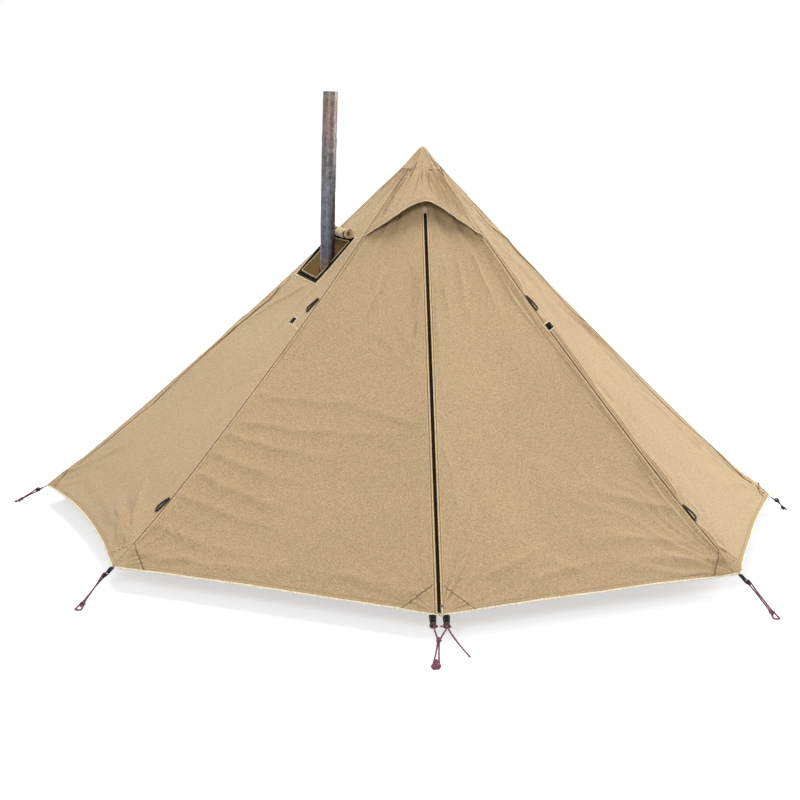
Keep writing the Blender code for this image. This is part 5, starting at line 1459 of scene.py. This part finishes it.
# The field between the pipe's round hole and the jack's outline, ring by ring, with a
# ripple and a low bulge at the pipe; then its border and tapes.
def dressJack():
    k, lift = jack["panel"], jack["lift"]
    perSide = 24
    s = np.arange(perSide) / perSide
    zero, one = np.zeros(perSide), np.ones(perSide)
    a = np.concatenate([s, one, 1 - s, zero])
    b = np.concatenate([zero, s, one, 1 - s])
    flueU, flueT = jack["pipeShares"]
    flue = clothBase(k, flueU, flueT)
    outerU, outerT = jackSpot(a, b, 0.0)
    toward = cutOf(outerU, outerT) - cutOf(flueU, flueT)
    turn = np.arctan2(toward[:, 1], toward[:, 0])
    # the pipe's round hole: the spots whose plan distance from the flue is its radius
    hole = pipe["radius"] + 0.0006
    reach = np.full(len(turn), hole)
    for _ in range(8):
        spot = cutOf(flueU, flueT) + np.stack([np.cos(turn), np.sin(turn)], -1) * reach[:, None]
        t = spot[:, 1] / slope
        u = spot[:, 0] / (hemLength * t) + 0.5
        plan = clothBase(k, u, t)[:, :2] - flue[:2]
        reach = reach * hole / np.linalg.norm(plan, axis=1)
    rings = np.linspace(0, 1, 26)[:, None] ** 1.15
    allU, allT = u + (outerU - u) * rings, t + (outerT - t) * rings
    cut = cutOf(allU, allT)
    dent = 0.0007 * ripple(cut[..., 0], cut[..., 1], 0.08, 7, 14) * np.sin(math.pi * rings)
    bulge = 0.0018 * np.exp(-(rings / 0.16) ** 2)
    outer, inner = [clothAt(k, allU, allT, lift + thick + dent + bulge) for thick in (jack["thick"], 0.0)]
    obj = closedSheet("jack_panel", outer, inner, heatCloth, cut, wrap=True)
    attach(obj, "shelter")
    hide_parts("jack_panel")

    # the border, then light tapes just outside it and along its inner edge
    base = lift + jack["thick"]
    obj, run = jackBand("jack_border", a, b, jack["border"], base, base, blackCloth)
    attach(obj, "shelter")
    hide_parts("jack_border")
    for name, base in (("jack_binding", 0.0008), ("jack_inner_binding", 0.0046)):
        base = tent["outer"] + base
        obj, run = jackBand(name, a, b, jack[name], base, base - 0.0011, piping, run)
        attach(obj, "shelter")


# The rolled weather flap: a sheet wound in a spiral about a line above the field, so
# its radius grows with the turn; it is carried along that line.
roll = {
    "turns": 2.2, "core": 0.0105, "sheet": 0.0013, "along": 90, "around": 110, "slump": 0.004,
    "start": 2.4, "tied": (0.3, 0.8), "pinch": 0.16, "tiedHalf": 0.035,
    "folds": (0.0016, 0.0014, 0.0018),    # long, lengthwise and fine
}


# At each place along the line the radius grows with the turn from the core outward, with
# folds, and is squeezed where the tapes tie it.
def dressRoll():
    k = jack["panel"]
    a = np.linspace(-0.01, 0.95, roll["along"])
    u, t = jackSpot(a, 0.0)
    t = t + roll["slump"] * a / slope
    line = clothAt(k, u, t, jack["rollRadius"] + jack["lift"] + 0.005, creased=False)
    ahead = unit(np.gradient(line, axis=0))
    out = clothNormal(k, u, t)
    side = unit(np.cross(ahead, out))
    out = np.cross(side, ahead)
    turn = np.linspace(0, math.tau * roll["turns"], roll["around"])[:, None]
    share = turn / turn[-1]
    radius = roll["core"] + (jack["rollRadius"] - roll["core"]) * share ** 0.9
    long, lengthwise, fine = roll["folds"]
    folds = long * wander(turn * 0.02 + a[None] * 0.4, 0.05, 17)
    folds = folds + lengthwise * wander(a[None] * 0.7, 0.06, 18)
    folds = folds + fine * ripple(turn * 0.02, a[None] * 0.4, 0.026, 27, 16)
    squeeze = 1 - sum(roll["pinch"] * np.exp(-((a[None] - place) / roll["tiedHalf"]) ** 2)
                      for place in roll["tied"])
    radius = (radius + folds * share) * squeeze
    angle = turn + roll["start"]
    direction = np.cos(angle)[..., None] * side[None] + np.sin(angle)[..., None] * out[None]
    outer = line[None] + direction * radius[..., None]
    inner = line[None] + direction * (radius - roll["sheet"])[..., None]
    uv = sideBySide(turn * 0.012, a[None] * 0.4)
    obj = closedSheet("jack_flap", outer, inner, piping, uv)
    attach(obj, "shelter")
    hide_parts("jack_flap")
    # tie tapes round the roll
    for index, place in enumerate(roll["tied"]):
        at = int(np.argmin(np.abs(a - place)))
        ring = turnsOf(40)
        reach = jack["rollRadius"] * 0.84 + 0.0012
        centre = line[at] + (np.cos(ring)[:, None] * side[at] + np.sin(ring)[:, None] * out[at]) * reach
        away = unit(centre - line[at])
        profile = ((-0.005, 0.0), (-0.005, 0.0009), (0.005, 0.0009), (0.005, 0.0))
        points = np.stack([centre + ahead[at] * x + away * z for x, z in profile], 1)
        band = ringBody(f"flap_tie_{index}", points, elastic, joined=True)
        fixFacing(band)
        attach(band, "shelter")


# Flue pipe.
pipe = {
    "radius": 0.03, "wall": 0.0009, "top": 1.795, "joint": 0.92,
    "rows": 150, "around": 120, "lapTurn": 236.0, "lap": 0.0014,
    "hammered": 0.00045, "wavy": 0.0005, "bead": 0.0022, "bow": 0.0022, "room": 0.0003,
}
dressJack()
dressRoll()


# A tube about the flue's axis: its radius at (height, turn) is the pipe's, let in by a
# bead over the joint, a lap seam at one turn, and shallow hammer marks.
def dressPipe():
    flue = clothBase(jack["panel"], *jack["pipeShares"])
    seat = pipe["joint"] + pipe["room"]
    heights = np.append([seat, seat + 0.0005, seat + 0.005, seat + 0.008],
                        np.linspace(seat + 0.012, pipe["top"], pipe["rows"]))
    z, angle = heights[:, None], turnsOf(pipe["around"])[None]
    fromLap = (np.degrees(angle) - pipe["lapTurn"] + 180) % 360 - 180
    lap = pipe["lap"] * np.where(fromLap > 0, np.exp(-fromLap / 14), np.exp(fromLap / 1.2))
    marks = pipe["hammered"] * ripple(angle * pipe["radius"], z, 0.045, 21, 16)
    marks = marks + pipe["wavy"] * ripple(angle * 0.02, z, 0.2, 22)
    fadeTop = 1 - ease(z, pipe["top"] - 0.004, pipe["top"])
    bead = pipe["bead"] * (1 - ease(z, seat + 0.005, seat + 0.008))
    bow = pipe["bow"] * np.sin(math.pi * np.clip((z - 1.05) / 0.75, 0, 1))
    outer = pipe["radius"] + (lap + marks) * (0.3 + 0.7 * fadeTop) * ease(z, 0.94, 0.98) + bead
    inner = pipe["radius"] - pipe["wall"]
    outer, inner = [sideBySide(flue[0] + reach * np.cos(angle) - bow,
                               flue[1] + reach * np.sin(angle), z) for reach in (outer, inner)]
    uv = sideBySide(z, angle * pipe["radius"])
    obj = closedSheet("pipe_upper", outer, inner, flueSteel, uv, wrap=True)
    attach(obj, bodyOf("pipe_upper"))
    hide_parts("pipe_upper")


def bodyOf(node):
    return nodes[node]["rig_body"]


dressPipe()
print("stage: jack and pipe made")


# Webbing tabs.
tab = {
    "width": 0.022, "long": 0.047, "thick": 0.0024, "slotWidth": 0.013, "slotDepth": 0.0075,
    "bow": 0.0012, "wave": 0.0009, "pinch": 0.22, "tackWire": 0.0007, "tacks": (-0.006, -0.027),
    "slotInset": 0.007, "dip": -18.0, "room": 0.0013, "turnMost": 8.0, "curl": 0.0052,
    "frontOffset": 0.024, "frontWidth": 0.02, "frontRoom": 0.0048,
}


# A rounded rectangle's point in the direction of each angle, as a superellipse.
def roundedRing(turn, halfX, halfY, power=8.0):
    c, s = np.cos(turn), np.sin(turn)
    reach = (np.abs(c / halfX) ** power + np.abs(s / halfY) ** power) ** (-1 / power)
    return np.stack([reach * c, reach * s], -1)


# A tab lies along the slope of the cloth, dipped a little towards the ground.
def tabFrame(corner, radial):
    angle = math.atan2(tent["drop"], tent["radius"]) + math.radians(tab["dip"])
    along = radial * math.cos(angle) - upAxis * math.sin(angle)
    side = np.array([-radial[1], radial[0], 0.0])
    out = unit(np.cross(side, -along))
    return corner, side, -along, out


# A plate between an outer and a slot outline, ring by ring, with a bar at its end that
# the cord runs round; its root goes up under the corner patch.
def dressTab(name, corner, radial, width, raised, eye=1.0):
    origin, side, up, out = tabFrame(corner, radial)
    slotY = -tab["long"] + tab["slotInset"] + tab["slotDepth"] / 2
    turn = turnsOf(64)
    slot = roundedRing(turn, eye * tab["slotWidth"] / 2, eye * tab["slotDepth"] / 2, 5.0)
    top, low = 0.0, -tab["long"]
    c, s = np.cos(turn), np.sin(turn)
    reachX = np.where(np.abs(c) > 1e-6, width / 2 / np.maximum(np.abs(c), 1e-6), 1e9)
    reachY = np.where(s > 0, (top - slotY) / np.maximum(s, 1e-6), (slotY - low) / np.maximum(-s, 1e-6))
    reach = (reachX ** -9.0 + reachY ** -9.0) ** (-1 / 9.0)
    edge = np.stack([reach * c, reach * s], -1)
    rings = np.array([0.0, 0.06, 0.2, 0.4, 0.6, 0.8, 0.94, 1.0])[:, None, None]
    flat = slot[None] + (edge - slot)[None] * rings
    rise = tab["thick"] / 2 * np.array([0.55, 0.92, 1.0, 1.0, 1.0, 1.0, 0.92, 0.55])[:, None]
    x, y = flat[..., 0], flat[..., 1] + slotY
    down = np.clip(-y / tab["long"], 0, 1)
    bow = tab["bow"] * np.sin(math.pi * down) - tab["curl"] * ease(down, 0.05, 0.8) * (2 * x / width) ** 2
    bow = bow + tab["wave"] * np.sin(x / width * 17.0) * ease(down, 0.2, 0.9)
    pinch = 1 - tab["pinch"] * ease(down, 0.1, 0.9)
    centre = origin + side * (x * pinch)[..., None] + up * y[..., None]
    centre = centre + out * (raised + bow)[..., None]
    face, back = [centre + out * sign * rise[..., None] for sign in (1, -1)]
    obj = closedSheet("tab_" + name, face, back, webbing, np.stack([y, x], -1), wrap=True)
    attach(obj, bodyOf("tab_" + name))
    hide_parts("tab_" + name)
    # sewn bar tacks across the tab
    for index, place in enumerate(tab["tacks"]):
        x = np.linspace(-width * 0.42, width * 0.42, 40)
        fall = tab["curl"] * ease(-place / tab["long"], 0.05, 0.8) * (2 * x / width) ** 2
        height = raised + tab["thick"] / 2 + 0.001 + 0.0002 * np.sin(x * 9000) - fall
        line = origin + side * x[:, None] + up * place + out * height[:, None]
        bar = tubeAlong(f"tack_{name}_{index}", line, tab["tackWire"], elastic, axis=out, sides=6)
        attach(bar, bodyOf("tab_" + name))
    return origin, side, up, out, slotY


# Cords.
cords = {
    "radius": 0.0029, "step": 0.004, "spread": 0.005, "part": 0.0042, "loop": 0.0108,
    "reaches": (0.0, 0.221, 0.116, 0.19, 0.19, 0.19, 0.15, 0.218),
    "shifts": (0.0, -0.121, 0.096, -0.04, 0.03, 0.04, -0.04, 0.096),
    "knot": 0.01, "knotShare": 0.84, "hitch": 0.0062, "hitchThin": 0.8, "round": 0.0016, "below": 0.003,
    "frontReach": 0.25, "frontShift": -0.026, "frontRoom": 0.002, "gap": 0.0003,
}


# The half circle of a peg loop: shares across and ahead of its middle.
pegLoop = ((1.0, 0.0), (0.71, 0.71), (0.0, 1.0), (-0.71, 0.71), (-1.0, 0.0))


# A knot: the trefoil line, pulled tight and laid along a direction.
def dressKnot(name, centre, along, size, radius, look, body):
    turn = turnsOf(72)[:, None]
    along = unit(np.asarray(along, float))
    side = unit(np.cross(along, upAxis))
    top = np.cross(side, along)
    x = (np.sin(turn) + 2 * np.sin(2 * turn)) / 3
    y = (np.cos(turn) - 2 * np.cos(2 * turn)) / 3
    z = -np.sin(3 * turn) * 0.42
    line = np.asarray(centre) + (x * along * 1.15 + y * side * 0.8 + z * top) * size
    low = radius + cords["gap"]
    line[:, 2] = np.maximum(line[:, 2], low)
    obj = tubeAlong(name, line, radius, look, axis=(0.21, 0.35, 0.91), sides=10, joined=True)
    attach(obj, body)
    return obj


# The corner cord: out of the tab's slot over its end bar, down to the ground, round a
# peg loop and back under the bar into the slot.
def dressCornerCord(k, name, look):
    radial = heading(k)
    reach, shift = cords["reaches"][k], cords["shifts"][k]
    most = math.radians(tab["turnMost"])
    turn = max(-most, min(most, math.atan2(shift, reach)))
    along = radial * math.cos(turn) + np.cross(upAxis, radial) * math.sin(turn)
    corner = ridgePoint(k, 1.0) + along * tab["room"]
    origin, side, up, out, slotY = dressTab(name, corner, along, tab["width"], 0.0)
    low = cords["radius"] + cords["gap"]
    slot = origin + up * slotY
    bend = tab["thick"] / 2 + cords["radius"] + cords["round"]
    tipY = -tab["long"] - cords["radius"] - cords["below"]
    over, under = [origin + up * (slotY - 0.004) + out * sign * (bend + 0.001) for sign in (1, -1)]
    tipOver, tipUnder = [origin + up * tipY + out * sign * bend for sign in (1, -1)]
    far = ridgePoint(k, 1.0) + radial * reach + np.cross(upAxis, radial) * shift
    far[2] = low
    ahead = unit((far - slot) * np.array([1.0, 1.0, 0.0]))
    side = np.cross(upAxis, ahead)
    back = far - ahead * cords["loop"]
    start = (tipOver + tipUnder) / 2
    there, home = [[start + (back - start) * share + side * sign * cords["spread"] * share
                    + upAxis * sign * cords["part"] * (1 - share) for share in (0.25, 0.5, 0.75)]
                   for sign in (1, -1)]
    peg = [back + (side * c + ahead * s) * cords["loop"] for c, s in pegLoop]
    points = [slot + out * 0.001, over, tipOver, *there, *peg, *home[::-1],
              tipUnder, under, slot - out * 0.0014]
    line = smoothLine(points, cords["step"])
    line[:, 2] = np.maximum(line[:, 2], low)
    obj = tubeAlong("cord_" + name, line, cords["radius"], look)
    body = bodyOf("cord_" + name)
    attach(obj, body)
    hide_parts("cord_" + name)
    run = back - start
    knot = dressKnot("knot_" + name, start + run * cords["knotShare"], run, cords["knot"],
                     cords["radius"], look, body)
    hitchPlace = tipOver * 0.6 + tipUnder * 0.4 + up * 0.002
    hitch = dressKnot("hitch_" + name, hitchPlace, run, cords["hitch"],
                      cords["radius"] * cords["hitchThin"], darkCord, body)


cordNames = ((1, "right_front"), (2, "right"), (3, "right_rear"), (4, "rear"), (5, "left_rear"),
             (6, "left"), (7, "left_front"))
for k, name in cordNames:
    dressCornerCord(k, name, darkCord if k in (2, 3, 4) else cordCloth)


# The front cord joins the two door tabs, is knotted below them and ends in a peg loop.
def dressFrontCord():
    radial = heading(0)
    low = cords["radius"] + cords["gap"]
    ends = []
    for sign, name in ((-1, "front_left"), (1, "front_right")):
        k = 7 if sign < 0 else 0
        share = tab["frontOffset"] / hemLength
        u = 1 - share if k == 7 else share
        corner = clothBase(k, np.array(u), hemShare(k, np.array(u))) + radial * tab["frontRoom"]
        origin, _, up, out, _ = dressTab(name, corner, radial, tab["frontWidth"] * 1.25,
                                         tab["thick"] / 2, 0.35)
        fall = -tab["long"] - cords["radius"] - cords["frontRoom"]
        ends.append(origin + out * (tab["thick"] / 2) + up * fall)
    left, right = ends
    middle = (left + right) / 2
    across = np.array([1.0, 0.0, 0.0])
    far = ridgePoint(0, 1.0) + radial * cords["frontReach"] + across * cords["frontShift"]
    far[2] = low
    back = far - radial * cords["loop"]
    knot = middle + (back - middle) * 0.35
    half = knot + (back - knot) * 0.5
    spread = cords["spread"]
    points = [middle, right + radial * 0.003 - across * 0.009,
              right + radial * 0.012 - across * 0.001, knot + across * spread * 0.8,
              half + across * spread,
              *[back + (across * c + radial * s) * cords["loop"] for c, s in pegLoop],
              half - across * spread, knot - across * spread * 0.8,
              left + radial * 0.012 + across * 0.001, left + radial * 0.003 + across * 0.009]
    ring = smoothLine(points, cords["step"], closed=True)
    line = ring[:-1]
    line[:, 2] = np.maximum(line[:, 2], low)
    body = bodyOf("cord_front")
    obj = tubeAlong("cord_front", line, cords["radius"], cordCloth)
    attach(obj, body)
    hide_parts("cord_front")
    ahead = back - knot
    loopEnd = back + ahead * 0.02
    pieces = [dressKnot("knot_front_" + name, place, lay, size, radius, cordCloth, body)
              for name, place, lay, size, radius in (
                  ("upper", knot, ahead, 0.0085, 0.0034),
                  ("lower", half + (back - half) * 0.62, ahead, 0.007, 0.0036),
                  ("end", loopEnd, ahead, 0.012, 0.0052),
                  ("ball", loopEnd + upAxis * 0.004, np.cross(ahead, upAxis), 0.011, 0.005))]
    for index, end in enumerate(ends):
        pieces.append(dressKnot(f"knot_front_tab_{index}", end - radial * 0.004, across, 0.0085,
                                0.0046, darkCord, body))
    route = ((0.004, 0.0), (0.03, 0.01), (0.062, 0.03), (0.092, 0.052), (0.11, 0.067))
    tailLine = smoothLine([right + radial * out + across * aside for out, aside in route], cords["step"])
    tailLine[:, 2] = np.linspace(tailLine[0, 2] + 0.003, low, len(tailLine))
    tailLine[:, 2] = np.maximum(tailLine[:, 2], low)
    tail = tubeAlong("cord_front_tail", tailLine, cords["radius"], cordCloth)
    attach(tail, body)
    pieces.append(tail)


dressFrontCord()
print("stage: tabs and cords made")


# Door ties.
ties = {
    "long": 0.076, "radius": 0.0036, "width": 0.03, "tilt": 0.006, "near": 0.014,
    "left": (0.89, 0.45), "right": (0.995, 0.1),    # how far a loop lies across, and how far down
    "spots": (("tie_left_upper", 6, 0.38), ("tie_left_lower", 6, 0.845),
              ("tie_right_upper", 1, 0.364), ("tie_right_lower", 1, 0.845)),
    "lift": 0.0029,
}
squares = {
    "size": 0.03, "share": 0.445, "thick": 0.0022, "rim": 0.006,
    # name, panel, distance from the seam, width
    "spots": (("square_left", 6, 0.1, 0.042), ("square_right", 1, -0.006, 0.03)),
}


# Elastic loops sewn beside the front ridges, with a toggle at each loop's end.
def dressTies():
    for name, k, share in ties["spots"]:
        near, long, wide = ties["near"], ties["long"], ties["width"]
        down, aside = ties["left"] if k == 6 else ties["right"]
        half = wide * 0.45
        upper = ((near, 0.0018), (near + long * 0.36, wide * 0.34), (near + long - half, half),
                 (near + long - half * 0.29, half * 0.71))
        route = (*upper, (near + long, 0.0), *[(away, -along) for away, along in upper[::-1]])
        points = []
        for away, along in route:
            t = share + (away * down - along * aside) / slope
            u = shareFrom(near + (away - near) * aside + along * down, t, k == 6)
            tilt = ties["tilt"] * max(along, 0.0) / wide * 2 * (1.0 if k == 1 else 0.3)
            lift = ties["lift"] + ties["radius"] + 0.0008 + tilt
            points.append(clothAt(k, np.array(u), np.array(t), lift))
        line = smoothLine(points, 0.003)
        obj = tubeAlong(name, line, ties["radius"], elastic, axis=flatNormal(k))
        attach(obj, "shelter")
        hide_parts(name)
        end = points[4]
        across = unit(points[5] - points[3])
        s = np.linspace(-1, 1, 25)
        body = end + flatNormal(k) * 0.0012 + across * (s * 0.012)[:, None]
        width = 0.0046 * np.sqrt(np.maximum(1 - np.abs(s) ** 5, 0.02))
        width = width * (1 - 0.22 * np.exp(-(s / 0.22) ** 2))
        toggle = tubeAlong("toggle_" + name, body, width, plastic, axis=flatNormal(k), sides=16)
        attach(toggle, "shelter")


# Square hook-and-loop pads in a light frame, each on a narrow strap from the seam; the
# right one lies on the standing flap.
def dressSquares():
    for name, k, near, wide in squares["spots"]:
        slant = flap["slant"] if k == 1 else 0.0
        across, down = np.meshgrid(np.linspace(0, 1, 19), np.linspace(0, 1, 19))
        puff, crown = [(1 - (2 * across - 1) ** power) * (1 - (2 * down - 1) ** power)
                       for power in (6, 12)]
        for kind, rim, rise, look, slotName in (
                ("", 0.0, ties["lift"] + squares["thick"] + 0.0005 * puff, blackCloth, "black_cloth"),
                ("frame_", squares["rim"], tent["outer"] + 0.0026 * crown, piping, "canvas_side")):
            high, long = squares["size"] + 2 * rim, wide + 2 * rim
            t = squares["share"] + high * (down - 0.5) / slope
            away = near - rim + long * across
            u = shareFrom(away, t, k == 6)
            outer = clothAt(k, u, t, rise + slant * away)
            inner = clothAt(k, u, t, tent["outer"] - tent["sunk"])
            uv = sideBySide(down * high, across * long)
            obj = closedSheet(kind + name, outer, inner, look, uv)
            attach(obj, "shelter")
            if not kind:
                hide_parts(name)
        s = np.linspace(0, 1, 30)[:, None]
        x = np.array([-1.0, -0.8, 0.8, 1.0, 0.0])[None]
        lift = np.array([0.0002, 0.0015, 0.0015, 0.0002, 0.0])[None]
        t = squares["share"] + (0.034 - 0.02 * s + 0.0034 * x) / slope
        away = 0.006 + (max(near, 0.004) - 0.004) * s + 0 * x
        u = shareFrom(away, t, k == 6)
        points = clothAt(k, u, t, tent["outer"] + lift + slant * away)
        strap = ringBody(f"strap_{name}", points, piping)
        fixFacing(strap)
        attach(strap, "shelter")


dressTies()
dressSquares()
print("stage: ties and pads made")


# Solids whose shape is right keep it and get smooth shading and a better finish.
finishes = {
    "pole_lower": poleMetal, "pole_upper": poleMetal, "pole_collar": plastic, "pole_tip": plastic,
    "pole_foot": rubber, "firebox": stoveSteel, "stove_door": stoveSteel, "legs_front": darkIron,
    "legs_rear": darkIron, "grate": darkIron, "hinge_pin": darkIron, "latch": brass,
    "air_slide": darkIron, "damper": darkIron, "pipe_lower": lowerSteel, "zip_slider": sliderMetal,
}


def dressSolids():
    for name, look in finishes.items():
        obj = nodes[name]
        obj.data.materials.clear()
        obj.data.materials.append(look)
        obj.data.polygons.foreach_set("use_smooth", np.ones(len(obj.data.polygons), bool))
        weld = obj.modifiers.new("weld", "WELD")
        weld.merge_threshold = 0.00002
        split = obj.modifiers.new("split", "EDGE_SPLIT")
        split.split_angle = math.radians(32)


dressSolids()
print("stage: solids finished")

# Floor, lights and background.
studio = {
    "floorReach": 40.0, "floorColour": (0.7, 0.715, 0.75),
    "ambient": 0.22, "floorGlow": 0.6, "farGlow": 0.9,
    "lights": (  # name, place, size, watts, colour
        ("top", (-1.0, 1.4, 6.8), 4.6, 350.0, (1.0, 0.99, 0.97)),
        ("front", (-1.6, -6.6, 3.6), 2.6, 185.0, (1.0, 0.99, 0.97)),
        ("key", (6.6, 0.6, 2.4), 5.0, 345.0, (1.0, 0.99, 0.97)),
        ("left", (-6.2, -1.2, 2.6), 4.0, 36.0, (1.0, 0.99, 0.98)),
    ),
}


# 1 for what the camera sees, straight or in a reflection, and 0 for light on the tent.
def seenRays(tree):
    rays = addNode(tree, "ShaderNodeLightPath")
    mirrored = maths(tree, "MAXIMUM", rays.outputs["Is Glossy Ray"], rays.outputs["Is Transmission Ray"])
    return maths(tree, "MAXIMUM", rays.outputs["Is Camera Ray"], mirrored)


# The world and the floor glow only where the camera or a reflection sees them.
def lightScene():
    world = bpy.data.worlds.new("world")
    bpy.context.scene.world = world
    world.use_nodes = True
    tree = world.node_tree
    back = tree.nodes["Background"]
    back.inputs["Color"].default_value = (1.0, 1.0, 1.0, 1.0)
    ambient = studio["ambient"]
    strength = timesPlus(tree, seenRays(tree), 1.0 - ambient, ambient)
    feed(tree, back.inputs["Strength"], strength)
    for name, place, size, watts, colour in studio["lights"]:
        data = bpy.data.lights.new(name, "AREA")
        data.shape = "DISK"
        data.size = size
        data.energy = watts
        data.color = colour
        obj = bpy.data.objects.new(name, data)
        bpy.context.scene.collection.objects.link(obj)
        aim = Vector((0.0, 0.0, 0.6)) - Vector(place)
        turn = aim.to_track_quat("-Z", "Y").to_matrix().to_4x4()
        obj.matrix_world = Matrix.Translation(Vector(place)) @ turn
    look, tree = newLook("floor", studio["floorColour"], 0.9)
    shader = tree.nodes["Principled BSDF"]
    shader.inputs["Emission Color"].default_value = (1.0, 1.0, 1.0, 1.0)
    far = addNode(tree, "ShaderNodeVectorMath", {"operation": "LENGTH"}, Vector=objectPlace(tree))
    low = studio["floorGlow"]
    glow = falls(tree, far.outputs["Value"], 2.4, 4.4, low + studio["farGlow"], low)
    feed(tree, shader.inputs["Emission Strength"], times(tree, seenRays(tree), glow))
    shader.inputs["Specular IOR Level"].default_value = 0.0
    reach = studio["floorReach"]
    corners = reach * np.array([(-1, -1, 0), (1, -1, 0), (1, 1, 0), (-1, 1, 0)], float)
    floor = newMesh("floor", corners, [np.array([[0, 1, 2, 3]])], look)


lightScene()
bpy.context.scene.view_settings.view_transform = "Standard"

print("stage: scene complete")
